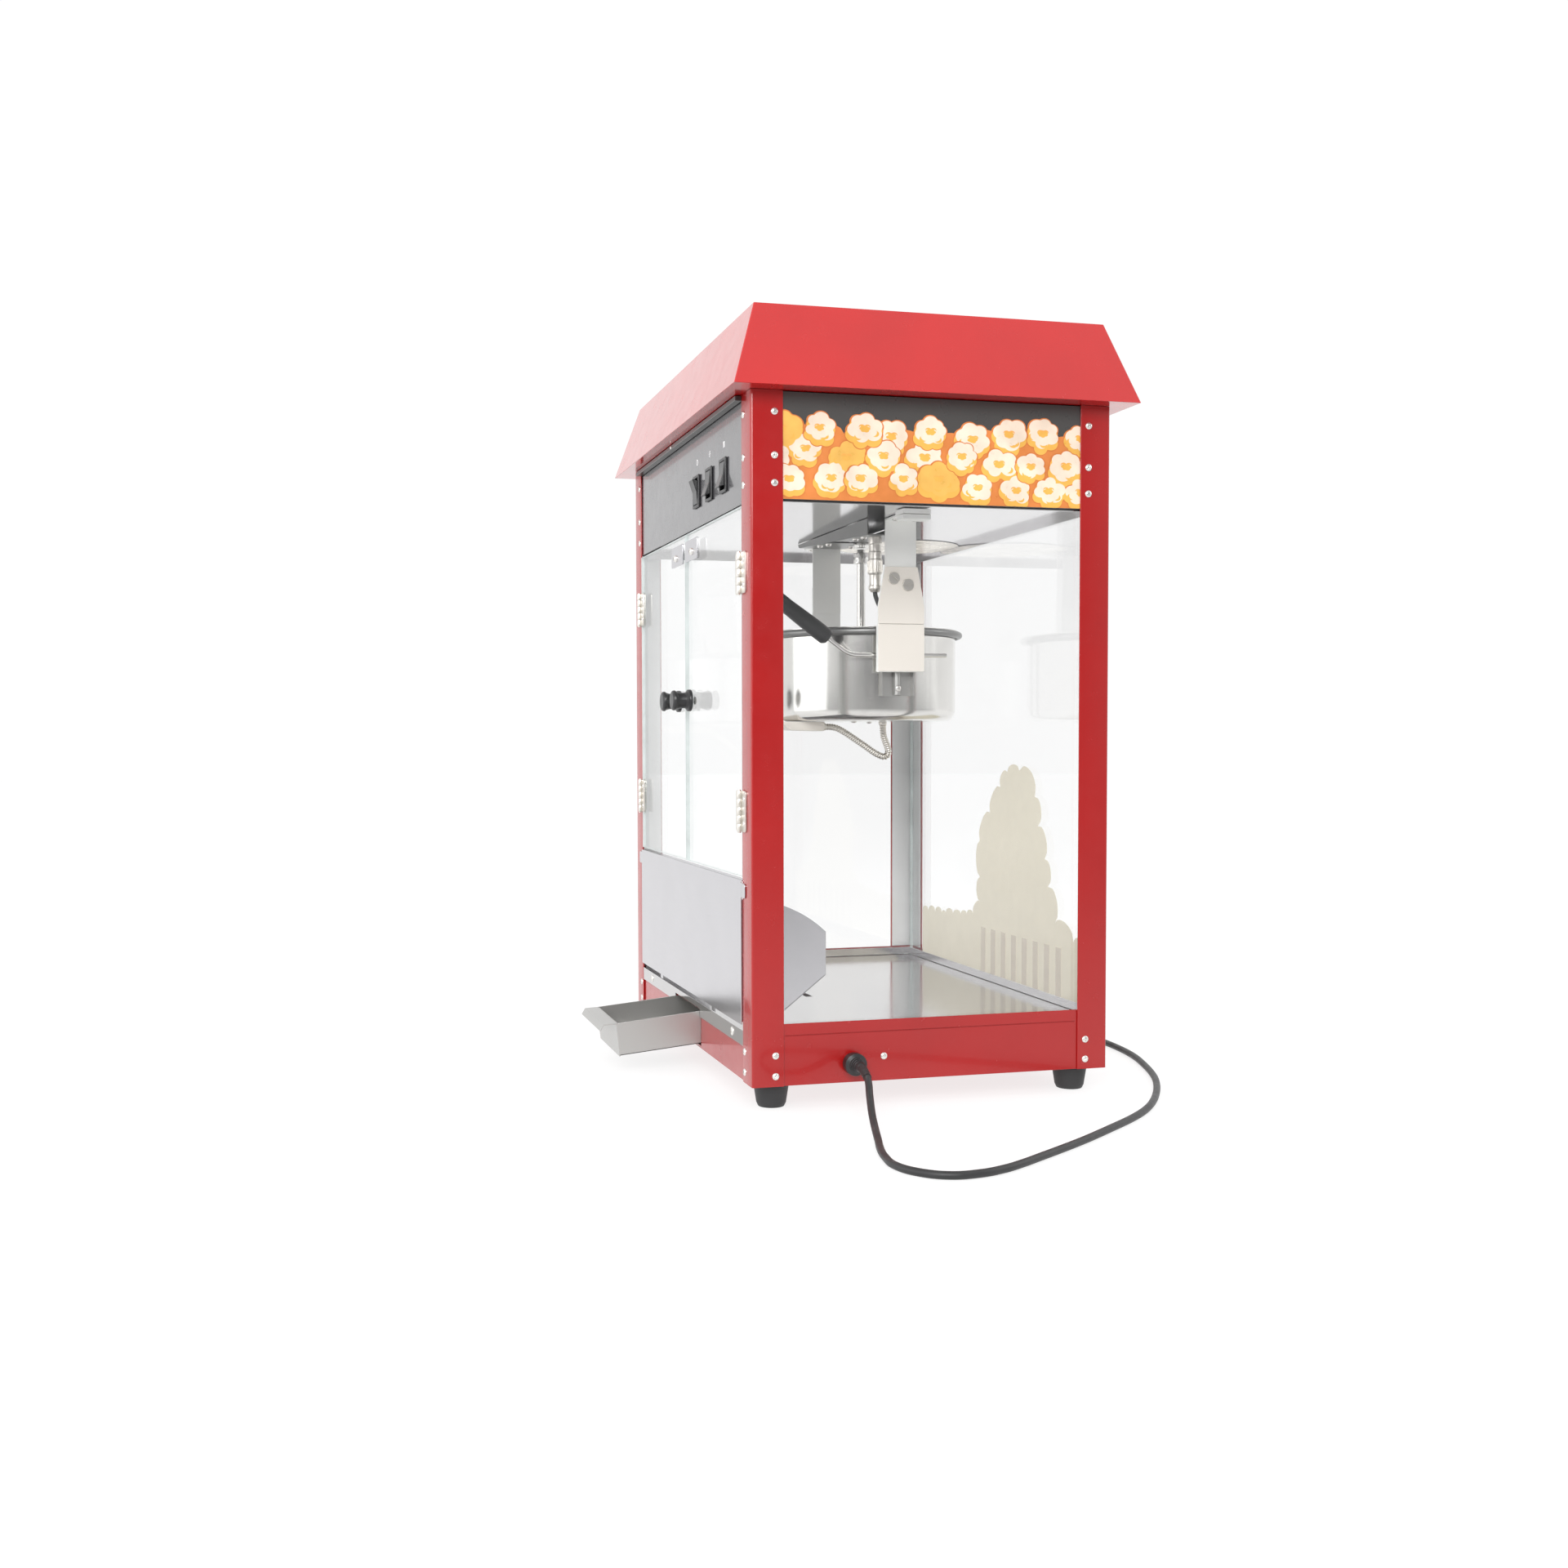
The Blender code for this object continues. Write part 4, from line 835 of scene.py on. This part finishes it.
def make_flap():
    half = RIGHT - POST_LEG - 0.0010
    face = (FRONT - 0.0015, FRONT - GAP)
    bottom, top = 0.0795, 0.2210
    bm = bmesh.new()
    outline = [(-half, bottom), (half, bottom), (half, top), (-half, top)]
    slab(bm, fillet(outline, 0.0015, 4, loop=True), *face, plane="XZ")
    hem = [(FRONT - 0.0012, top - 0.0012), (FRONT + 0.0080, top - 0.0012),
           (FRONT + 0.0080, top - 0.0002), (FRONT - 0.0012, top - 0.0002)]
    slab(bm, hem, -half + 0.0002, half - 0.0002, "YZ")
    hinge = Vector((FRONT, 0.0770))
    radius, depth = 0.125, 0.086
    sweep = math.asin(depth / radius)
    arc = [hinge + radius * Vector((math.sin(sweep * i / 40), math.cos(sweep * i / 40)))
           for i in range(41)]
    back = FRONT + depth
    cheek = [(FRONT - 0.0008, arc[0].y)] + [tuple(p) for p in arc]
    cheek += [(back, 0.1250), (FRONT + 0.043, 0.0910), (FRONT + 0.012, 0.0820),
              (FRONT - 0.0008, 0.0820)]
    fold = [(back - 0.0005, 0.1246), (back - 0.0012, 0.1254), (FRONT + 0.0428, 0.0926),
            (FRONT + 0.0435, 0.0918)]
    for sign in SIDES.values():
        outer, inner = sign * (half - 0.0009), sign * (half - 0.0021)
        slab(bm, cheek, *sorted((outer, inner)), plane="YZ")
        slab(bm, fold, *sorted((outer, sign * (half - 0.0075))), plane="YZ")
        tab = [(sign * (half - 0.002), 0.2040), (sign * (half + 0.013), 0.2040),
               (sign * (half + 0.013), 0.2180), (sign * (half - 0.002), 0.2180)]
        slab(bm, fillet(tab, [0, 0.003, 0.003, 0], 4, loop=True), face[0] + 0.0002, face[1],
             "XZ")
        block(bm, (sign * 0.112, sign * 0.124), (face[0] + 0.0002, face[1]),
              (0.0752, bottom + 0.001))
    finish_mesh("flap", bm, SATIN, "flap", ["front_flap"], bevel=0.0003)


def make_drawer():
    """Tray of folded sheet with a separate front that ends in a sloping finger lip."""
    half, out, long_side, high = 0.0545, -0.0885, 0.135, 0.035
    wall = 0.0011
    tilt = (Matrix.Translation((0, FRONT, 0.0294))
            @ Matrix.Rotation(math.radians(5.7), 4, "X"))
    tray = bmesh.new()
    front = out + 0.0005
    back = out + long_side
    block(tray, (-half, half), (front, back), (0, wall))
    for sign in (-1, 1):
        block(tray, (sign * half, sign * (half - wall)), (front, back), (0, high))
    block(tray, (-half, half), (back - wall, back), (0, high))
    block(tray, (-half + wall, half - wall), (front + 0.0008, front + 0.0008 + wall),
          (wall, high - 0.0006))
    bmesh.ops.transform(tray, matrix=tilt, verts=tray.verts)
    finish_mesh("drawer_tray", tray, BRUSHED, "drawer", ["crumb_drawer"],
                bevel=0.00025)
    plate = bmesh.new()
    profile = fillet([(out + 0.0002, -0.0012), (out + 0.0002, 0.0338), (out - 0.0130, 0.0346),
                      (out - 0.0176, 0.0288), (out - 0.0184, 0.0295), (out - 0.0138, 0.0357),
                      (out + 0.0010, 0.0350), (out + 0.0010, -0.0012)][::-1], 0.0006, 3,
                     loop=True)
    slab(plate, profile, -half + 0.0001, half - 0.0001, "YZ")
    bmesh.ops.transform(plate, matrix=tilt, verts=plate.verts)
    finish_mesh("drawer_front", plate, BRUSHED, "drawer", bevel=0.0002)


# Kettle --------------------------------------------------------------------------------------

def make_kettle():
    """Bowl with a rolled rim, its polished casing, and what is under it."""
    centre = (0, KETTLE_Y, 0)
    bm = bmesh.new()
    inner_edge = [(0.1030, 0.4684), (0.1018, 0.4000), (0.0960, 0.3935), (0, 0.3935), (0, 0.3950),
                  (0.0955, 0.3950), (0.1000, 0.4005), (0.1014, 0.4680), (0.1035, 0.4745)]
    roll = [(0.1092 + 0.0037 * math.cos(a), 0.4724 + 0.0037 * math.sin(a))
            for a in (math.radians(115 - 25 * k) for k in range(12))]
    spin(bm, roll + fillet(inner_edge, 0.0020, 4), centre, steps=128)
    finish_mesh("kettle_bowl", bm, PAN, "kettle", ["kettle_pan"], sharp=50)
    bm = bmesh.new()
    casing = [(0.1050, 0.4685), (0.1050, 0.3770), (0, 0.3770), (0, 0.3782), (0.1038, 0.3782),
              (0.1038, 0.4685)]
    spin(bm, fillet(casing, [0, 0.0125, 0, 0, 0.0115, 0], 8), centre, steps=128)
    finish_mesh("kettle_shell", bm, POLISHED, "kettle", ["kettle_casing"],
                sharp=50)
    keep("kettle_heater", ZINC)
    bm = bmesh.new()
    wedge = fillet([(-0.0885, 0.3765), (-0.0890, 0.3745), (-0.0790, 0.3672), (-0.0400, 0.3660),
                    (-0.0400, 0.3765)], [0, 0.001, 0.006, 0.002, 0], 5, loop=True)
    slab(bm, wedge, 0.0120, 0.0440, "YZ")
    finish_mesh("terminal_cover", bm, WARM, "kettle", ["terminal_box"],
                bevel=0.0012)


def make_hangers():
    """Straps and brackets that carry the kettle, with the folded plate on the right."""
    for side, sign in SIDES.items():
        keep("kettle_bracket_" + side, BRUSHED, 0.0002)
        facing = "+X" if sign > 0 else "-X"
        screws("boss_screw_" + side, [(sign * 0.1141, KETTLE_Y, 0.4110)], facing, "kettle",
               0.0033, 0.0014)
        keep("hanger_" + side, STRAP, 0.0003)
        screws("flange_screws_" + side,
               [(sign * x, y, 0.5875) for x in (0.132, 0.146) for y in (0.008, 0.029)], "-Z",
               "cabinet", 0.0032, 0.0022)
    bm = bmesh.new()
    upper = [(-0.0258, 0.4790), (0.0258, 0.4790), (0.0258, 0.4970), (0.0181, 0.5388),
             (-0.0181, 0.5388), (-0.0258, 0.4970)]
    lower = [(-0.0258, 0.4287), (0.0258, 0.4287), (0.0258, 0.4784), (-0.0258, 0.4784)]
    for outline in (upper, lower):
        outline = [(KETTLE_Y + y, z) for y, z in outline]
        slab(bm, fillet(outline, 0.0010, 3, loop=True), 0.1221, PLATE_X, "YZ")
    finish_mesh("hanger_plate", bm, WARM, "cabinet", bevel=0.0002)
    bm = bmesh.new()
    block(bm, (0.176, 0.198), (-0.0095, 0.0205), (0.5842, 0.5892))
    block(bm, (0.180, 0.198), (-0.0095, 0.0205), (0.5787, 0.5837))
    finish_mesh("ceiling_clamp", bm, STRAP, "cabinet", bevel=0.0005)


def make_hanger_screws():
    """Cheese heads with a slot, built as a disc with two segments on it."""
    bm = bmesh.new()
    radius, height, gap = 0.0064, 0.0022, 0.14
    for y, z, roll in ((0.0095, 0.5268, 0.9), (0.0255, 0.5200, 1.7)):
        place = (PLATE_X, y, z)
        turn = NORMALS["+X"] @ Matrix.Rotation(roll, 3, "Z")
        spin(bm, [(0, 0.4 * height), (radius, 0.4 * height), (radius, 0), (0, 0)], place, turn, 48)
        start = len(bm.verts)
        for side in (0, math.pi):
            arc = [side + gap + (math.pi - 2 * gap) * k / 24 for k in range(25)]
            slab(bm, [(0.995 * radius * math.cos(a), 0.995 * radius * math.sin(a)) for a in arc],
                 0.38 * height, height)
        move_new(bm, start, Matrix.Translation(place) @ turn.to_4x4())
    finish_mesh("hanger_screws", bm, NICKEL, "cabinet", bevel=0.0003)


def make_handle():
    """Bent bar along the kettle with a sleeve on its raised end."""
    slope = math.radians(36)
    bend = Vector((0.1105, FRONT + 0.151, 0.4465))
    rise = Vector((0, -math.cos(slope), math.sin(slope)))
    start = bend + rise * 0.0285
    corner = [Vector((0.1105, FRONT + 0.261, 0.4465)), bend, start + rise * 0.004]
    flat = fillet([(p.y, p.z) for p in corner], [0, 0.030, 0], 12)
    bm = bmesh.new()
    tube(bm, [(0.1105, y, z) for y, z in flat], 0.0022, 24)
    finish_mesh("handle_bar", bm, POLISHED, "kettle", ["handle_rod"],
                sharp=50)
    bm = bmesh.new()
    grip = fillet([(0, 0.1070), (0.0060, 0.1066), (0.0084, 0.1020), (0.0086, 0.0900),
                   (0.0080, 0.0560), (0.0092, 0.0180), (0.0091, 0.0040), (0.0064, 0.0002),
                   (0.0028, 0), (0, 0)], 0.0030, 5)
    spin(bm, grip, start, Matrix.Rotation(math.pi / 2 - slope, 3, "X"), 56)
    finish_mesh("handle_sleeve", bm, BLACK_PLASTIC, "kettle", ["handle_grip"],
                sharp=50)


def make_lead():
    """Armoured lead from the terminal cover into the kettle's floor."""
    bm = bmesh.new()
    knots = [(0.028, -0.0388, 0.3710), (0.029, -0.020, 0.3690), (0.031, 0.006, 0.3530),
             (0.032, 0.024, 0.3410), (0.033, 0.0345, 0.3375), (0.036, 0.0375, 0.3440),
             (0.040, 0.0305, 0.3600), (0.042, 0.0285, 0.3762)]
    path = spaced(knots, 0.00042)
    tube(bm, path, [0.0039 - 0.00042 * (1 - math.cos(2 * math.pi * i / 6))
                    for i in range(len(path))], 20)
    finish_mesh("lead_armour", bm, NICKEL, "kettle", ["armoured_lead"],
                sharp=60)
    bm = bmesh.new()
    for place, turn in (((0.042, 0.0285, 0.3767), NORMALS["-Z"]),
                        ((0.028, -0.0385, 0.3712), NORMALS["+Y"])):
        spin(bm, fillet([(0, 0.0042), (0.0042, 0.0042), (0.0046, 0.0030), (0.0046, 0), (0, 0)],
                        0.0006, 3), place, turn, 24)
    finish_mesh("lead_ferrules", bm, NICKEL, "kettle")
    screws("kettle_floor_screws", [(0.045, -0.0065, 0.3769), (-0.045, 0.045, 0.3769)], "-Z",
           "kettle", 0.0034, 0.0020)


def make_lids():
    """Two half lids that fold up from a bar across the kettle's mouth."""
    low, high = RIM_Z + 0.0004, RIM_Z + 0.0014
    edge, radius = 0.0130, 0.1078
    for name, side in (("front", -1), ("rear", 1)):
        start = math.asin(edge / radius)
        angles = [start + (math.pi - 2 * start) * i / 72 for i in range(73)]
        points = [(radius * math.cos(a), KETTLE_Y + side * radius * math.sin(a)) for a in angles]
        bm = bmesh.new()
        slab(bm, points, low, high)
        for x in (-0.075, 0.075):
            tube(bm, [(x - 0.011, KETTLE_Y + side * 0.0150, high + 0.0002),
                      (x + 0.011, KETTLE_Y + side * 0.0150, high + 0.0002)], 0.0010, 16)
        finish_mesh("lid_leaf_" + name, bm, POLISHED, "lid_" + name, ["lid_" + name],
                    bevel=0.0002)
    keep("lid_bar", BRUSHED, 0.0003)


def make_stirrer():
    """Shaft and sweeping arm in the kettle, and the hub above that turns them."""
    centre = (0, KETTLE_Y, 0)
    bm = bmesh.new()
    shaft = [(0, 0.5710), (0.0046, 0.5710), (0.0048, 0.5670), (0.0085, 0.5670), (0.0085, 0.5550),
             (0.00475, 0.5550), (0.00475, 0.4030), (0, 0.4030)]
    spin(bm, fillet(shaft, 0.0006, 3), centre, steps=48)
    arm = fillet([(-0.078, -0.0030), (0.078, -0.0030), (0.078, 0.0030), (-0.078, 0.0030)], 0.001,
                 3, loop=True)
    slab(bm, [(x, KETTLE_Y + y) for x, y in arm], 0.3985, 0.4025)
    for side in (-1, 1):
        block(bm, (side * 0.074, side * 0.079), (KETTLE_Y - 0.0029, KETTLE_Y + 0.0029),
              (0.3986, 0.4200))
    block(bm, (-0.0075, 0.0075), (KETTLE_Y - 0.0085, KETTLE_Y + 0.0085), (0.3982, 0.4065))
    finish_mesh("stirrer_shaft", bm, POLISHED, "stirrer", ["stirrer"],
                bevel=0.0002)
    bm = bmesh.new()
    hub = [(0, 0.5995), (0.0040, 0.5995), (0.0040, 0.5890), (0.0086, 0.5890), (0.0090, 0.5875),
           (0.0090, 0.5755), (0.0080, 0.5722), (0, 0.5722)]
    spin(bm, fillet(hub, 0.0008, 3), centre, steps=56)
    finish_mesh("hub", bm, POLISHED, "drive_hub", ["drive_hub"])


def make_crossbar():
    """Shallow channel under the ceiling, open where the hub passes."""
    bm = bmesh.new()
    near, far = Vector((0.1178, 0.5722)), Vector((-0.1140, 0.5850))
    top = CEILING_Z - 0.0006
    slope = (near.y - far.y) / (near.x - far.x)
    wall = [tuple(near), tuple(far), (far.x - 0.004, top), (near.x, top)]
    for y in (-0.0182, 0.0352):
        slab(bm, wall, y, y + 0.0012, "XZ")
    for start, end in ((far.x, -0.0105), (0.0105, near.x)):
        low = [(x, near.y + slope * (x - near.x)) for x in (start, end)]
        slab(bm, low + [(x, z + 0.0012) for x, z in reversed(low)], -0.0170, 0.0352, "XZ")
    finish_mesh("kettle_crossbar", bm, DARK, "cabinet", bevel=0.0002)
    screws("crossbar_screws", [(x, y, near.y + slope * (x - near.x)) for x, y in
                               ((0.086, -0.010), (0.060, -0.010), (0.030, 0.028), (-0.030, -0.010),
                                (-0.060, -0.010), (-0.060, 0.028))], "-Z", "cabinet", 0.0036,
           0.0030)


def make_socket():
    """Plug and socket of the kettle's lead, with the lead down to the pivot."""
    x, y = 0.1080, -0.0055
    bm = bmesh.new()
    socket = [(0, 0.5718), (0.0072, 0.5718), (0.0072, 0.5640), (0.0062, 0.5630),
              (0.0062, 0.5560), (0.0070, 0.5550), (0.0070, 0.5480), (0.0078, 0.5470),
              (0.0078, 0.5330), (0.0060, 0.5310), (0.0060, 0.5200), (0.0070, 0.5195),
              (0.0070, 0.5165), (0.0042, 0.5130), (0, 0.5130)]
    spin(bm, fillet(socket, 0.0005, 3), (x, y, 0), steps=48)
    finish_mesh("socket_body", bm, NICKEL, "cabinet", ["kettle_plug_socket"])
    bm = bmesh.new()
    for k in range(24):
        angle = 2 * math.pi * k / 24
        rib_x, rib_y = x + 0.0078 * math.cos(angle), y + 0.0078 * math.sin(angle)
        tube(bm, [(rib_x, rib_y, 0.5345), (rib_x, rib_y, 0.5458)], 0.0005, 8)
    finish_mesh("socket_knurl", bm, NICKEL, "cabinet")
    bm = bmesh.new()
    outer = 0.1173
    knots = [(x, y, 0.5150), (x + 0.0003, y + 0.0002, 0.5100), (0.1125, -0.0040, 0.5020),
             (0.1165, -0.0015, 0.4940), (outer, 0.0040, 0.4840), (outer, 0.0095, 0.4735),
             (outer, 0.0140, 0.4620), (outer, 0.0170, 0.4530)]
    tube(bm, spaced(knots, 0.002), 0.0024, 20)
    finish_mesh("socket_lead", bm, RUBBER, "cabinet", sharp=60)


def make_lamp():
    """Bulb above the ceiling, and its frosted window with a thin trim."""
    base = CEILING_Z + 0.0012 + GAP
    bulb = [(0, base + 0.070), (0.013, base + 0.070), (0.0135, base + 0.048),
            (0.020, base + 0.038), (0.0270, base + 0.022), (0.0260, base + 0.010),
            (0.0170, base + 0.0015), (0, base)]
    bm = bmesh.new()
    spin(bm, fillet(bulb, 0.008, 5), (-0.12, 0.09, 0), steps=48)
    finish_mesh("lamp_bulb", bm, FROSTED, "cabinet", ["cabinet_lamp"], sharp=60)

    window = (-0.120, 0.1095, CEILING_Z - 0.00055)
    bm = bmesh.new()
    spin(bm, [(0, 0.0004), (0.0725, 0.0004), (0.0725, 0), (0, 0)], window, steps=96)
    finish_mesh("lamp_window", bm, FROSTED, "cabinet", sharp=60)
    bm = bmesh.new()
    spin(bm, [(0.0727, 0.0004), (0.0737, 0.0004), (0.0737, 0), (0.0727, 0)], window, steps=96)
    block(bm, (-0.1705, -0.1695), (0.1800, 0.1960), (window[2], window[2] + 0.0004))
    finish_mesh("lamp_window_trim", bm, ZINC, "cabinet")


# Switches and print --------------------------------------------------------------------------

def make_switches():
    for number in ("1", "2", "3"):
        keep("switch_body_" + number, BLACK_PLASTIC, 0.0008)
        keep("switch_rocker_" + number, GLOSS_BLACK, 0.0006)
    face = FRONT + SHEET + GAP
    bm = bmesh.new()
    for index, x in enumerate((0.0485, 0.101, 0.1565)):
        place = (x, face, 0.6530)
        if index == 0:
            spin(bm, [(0.0032, 0.0001), (0.0032, -0.0001), (0.0022, -0.0001), (0.0022, 0.0001)],
                 place, NORMALS["-Y"], 32)
        elif index == 1:
            for k in range(8):
                angle = math.pi / 4 * k
                along = Vector((math.cos(angle), 0, math.sin(angle)))
                tube(bm, [Vector(place) + along * 0.0019, Vector(place) + along * 0.0034],
                     0.00035, 8)
            spin(bm, [(0, 0.0001), (0.0012, 0.0001), (0.0012, -0.0001), (0, -0.0001)], place,
                 NORMALS["-Y"], 24)
        else:
            for k in range(3):
                block(bm, (x - 0.0028 + 0.0022 * k, x - 0.0016 + 0.0022 * k),
                      (face - 0.0001, face + 0.0001), (0.6500, 0.6560))
    finish_mesh("panel_marks", bm, PRINT_WHITE, "cabinet")


def blob(rng, radius):
    """Closed outline of a popped kernel: round lobes of mixed size with creases between."""
    count = rng.choice((5, 6, 6, 7))
    turn = rng.uniform(0, math.tau)
    lobes = [(turn + math.tau * (k + rng.uniform(-0.16, 0.16)) / count,
              radius * rng.uniform(0.50, 0.62), radius * rng.uniform(0.34, 0.50))
             for k in range(count)]
    points = []
    for k in range(72):
        angle = math.tau * k / 72
        best = radius * 0.52
        for side, reach, size in lobes:
            across = reach * math.sin(angle - side)
            along = reach * math.cos(angle - side)
            if along > 0 and abs(across) < size:
                best = max(best, along + math.sqrt(size ** 2 - across ** 2))
        points.append((best * math.cos(angle), 0.86 * best * math.sin(angle)))
    return points


def grow(points, amount):
    """Pushes an outline away from its middle."""
    return [tuple(Vector(p) * (1 + amount / Vector(p).length)) for p in points]


def crease(centre, radius, turn, span, width):
    """Crescent that marks a fold in a kernel."""
    outer, inner = [], []
    for k in range(11):
        t = k / 10
        angle = turn + span * (t - 0.5)
        thick = width * math.sin(math.pi * min(max(t, 0.02), 0.98))
        for line, reach in ((outer, radius + thick), (inner, radius - 0.2 * thick)):
            line.append((centre[0] + reach * math.cos(angle),
                         centre[1] + 0.8 * reach * math.sin(angle)))
    return outer + inner[::-1]


def scallop(points, rng, low, high, depth):
    """Turns a line into a row of bumps that bulge to its left."""
    fine = [Vector(p[:2]) for p in spaced([(u, v, 0) for u, v in points], 0.001)]
    made = []
    i = 0
    while i < len(fine) - 1:
        j = min(len(fine) - 1, i + round(rng.uniform(low, high) / 0.001))
        chord = fine[j] - fine[i]
        left = Vector((-chord.y, chord.x)) * depth * rng.uniform(0.75, 1.2)
        for k in range(9):
            t = k / 9
            bulge = math.sqrt(max(0.0, 1 - (2 * t - 1) ** 2))
            made.append(tuple(fine[i] + chord * t + left * bulge))
        i = j
    made.append(tuple(fine[-1]))
    return made


def make_band(name, width, to_panel, seed):
    """Printed heap of popped kernels along the foot of a header panel."""
    rng = random.Random(seed)
    low, top = HEADER_Z + 0.0004, 0.6850
    limit = width / 2

    def sheet(part, outlines, material, level):
        if not outlines:
            return
        bm = bmesh.new()
        for index, outline in enumerate(outlines):
            height = level + 0.000002 * (index % 8)
            outline = [(max(-limit, min(limit, u)), max(low, min(top, v))) for u, v in outline]
            clean = [p for p, q in zip(outline, outline[1:] + outline[:1])
                     if (Vector(p) - Vector(q)).length > 1e-5]
            if len(clean) < 4:
                continue
            bottom = [bm.verts.new(to_panel(u, v, height - 0.00003)) for u, v in clean]
            upper = [bm.verts.new(to_panel(u, v, height)) for u, v in clean]
            bm.faces.new(bottom[::-1])
            bm.faces.new(upper)
            for i in range(len(clean)):
                j = (i + 1) % len(clean)
                bm.faces.new((bottom[i], bottom[j], upper[j], upper[i]))
        fill_faces(bm)
        finish_mesh("print_%s_%s" % (name, part), bm, material, "cabinet")

    edge = scallop([(-limit, 0.644), (-limit / 3, 0.650), (limit / 3, 0.646), (limit, 0.652)],
                   rng, 0.020, 0.036, 0.30)
    sheet("field", [[(-limit, low)] + edge + [(limit, low)]], PRINT_ORANGE, 0.00005)
    places = []
    for row, z in enumerate((0.6045, 0.6285, 0.6530)):
        u = -limit + (0.016 if row % 2 else -0.004)
        while u < limit + 0.01:
            places.append((u + rng.uniform(-0.004, 0.004), z + rng.uniform(-0.005, 0.005),
                           rng.uniform(0.0165, 0.0195), rng.random() < 0.10))
            u += rng.uniform(0.034, 0.041)
    rng.shuffle(places)
    tiers = [places[i::3] for i in range(3)]
    for tier, group in enumerate(tiers):
        rims, shadows, bodies, golds = [], [], [], []
        hearts, folds, shades = [], [], []
        for u, v, radius, golden in group:
            shape = blob(rng, radius * (1.25 if golden else 1.0))
            under = [(a - 0.0006, b - 0.0040) for a, b in shape]
            for outline in (under, shape):
                rims.append([(u + a, v + b) for a, b in grow(outline, 0.0009)])
            shadows.append([(u + a, v + b) for a, b in under])
            body = [(u + 0.0004 + 0.95 * a, v + 0.0008 + 0.93 * b) for a, b in shape]
            (golds if golden else bodies).append(body)
            heart = blob(rng, 0.30 * radius)
            hearts.append([(u + a, v + 0.75 * b) for a, b in heart])
            for k in (-1, 1):
                folds.append(crease((u + 0.15 * k * radius, v + 0.02 * radius), 0.17 * radius,
                                    math.pi / 2, 2.6, 0.08 * radius))
            for k in range(2):
                angle = 1.5 * math.pi + rng.uniform(-1.3, 1.3)
                middle = (u + 0.50 * radius * math.cos(angle),
                          v + 0.42 * radius * math.sin(angle))
                shades.append(crease(middle, 0.24 * radius, angle, 2.0, 0.12 * radius))
        level = 0.00007 + 0.00010 * tier
        sheet("rims_%d" % tier, rims, PRINT_BROWN, level)
        sheet("shadows_%d" % tier, shadows, PRINT_YELLOW, level + 0.00002)
        sheet("kernels_%d" % tier, bodies, PRINT_CREAM, level + 0.00004)
        sheet("golds_%d" % tier, golds, PRINT_GOLD, level + 0.00004)
        sheet("shades_%d" % tier, shades + hearts, PRINT_YELLOW, level + 0.00006)
        sheet("folds_%d" % tier, folds, PRINT_AMBER, level + 0.00008)


def make_print():
    make_band("right", 0.366, lambda u, v, w: (INSIDE + w, u, v), 11)
    make_band("left", 0.366, lambda u, v, w: (-INSIDE - w, -u, v), 12)
    back = REAR - SHEET - GAP
    make_band("rear", 0.500, lambda u, v, w: (-u, back + w, v), 13)


def make_transfer():
    """Cream heap with a burst of popcorn on the customers' pane."""
    rng = random.Random(5)
    inner = REAR - 2 * SHEET - 2 * GAP - PANE
    bm = bmesh.new()
    heap_line = [(-0.206, 0.137), (-0.120, 0.141), (-0.050, 0.148)]
    burst = [(-0.050, 0.148), (-0.024, 0.172), (-0.034, 0.205), (-0.030, 0.240), (-0.006, 0.268),
             (0.018, 0.292), (0.036, 0.316), (0.066, 0.322), (0.098, 0.312), (0.116, 0.284),
             (0.122, 0.250), (0.142, 0.215), (0.146, 0.180), (0.170, 0.150), (0.233, 0.142)]
    top = scallop(heap_line, rng, 0.012, 0.024, 0.26)[:-1]
    top += scallop(burst, rng, 0.026, 0.050, 0.30)
    slab(bm, [(-0.206, 0.076)] + top + [(0.233, 0.076)], inner - 0.0003, inner - 0.0001, "XZ")
    fill_faces(bm)
    finish_mesh("rear_transfer", bm, TRANSFER, "cabinet")
    bm = bmesh.new()
    for k in range(8):
        u = -0.026 + 0.0270 * k
        block(bm, (u, u + 0.0120), (inner - 0.0007, inner - 0.0004), (0.0765, 0.135))
    finish_mesh("rear_transfer_stripes", bm, STRIPE, "cabinet")


# Building ------------------------------------------------------------------------------------

for make in (make_cord, make_posts, make_cabinet_screws, make_shell, make_trim, make_feet,
             make_panes, make_doors, make_flap, make_drawer, make_kettle, make_hangers,
             make_hanger_screws, make_handle, make_lead, make_lids, make_stirrer, make_crossbar,
             make_socket, make_lamp, make_switches, make_print, make_transfer):
    make()
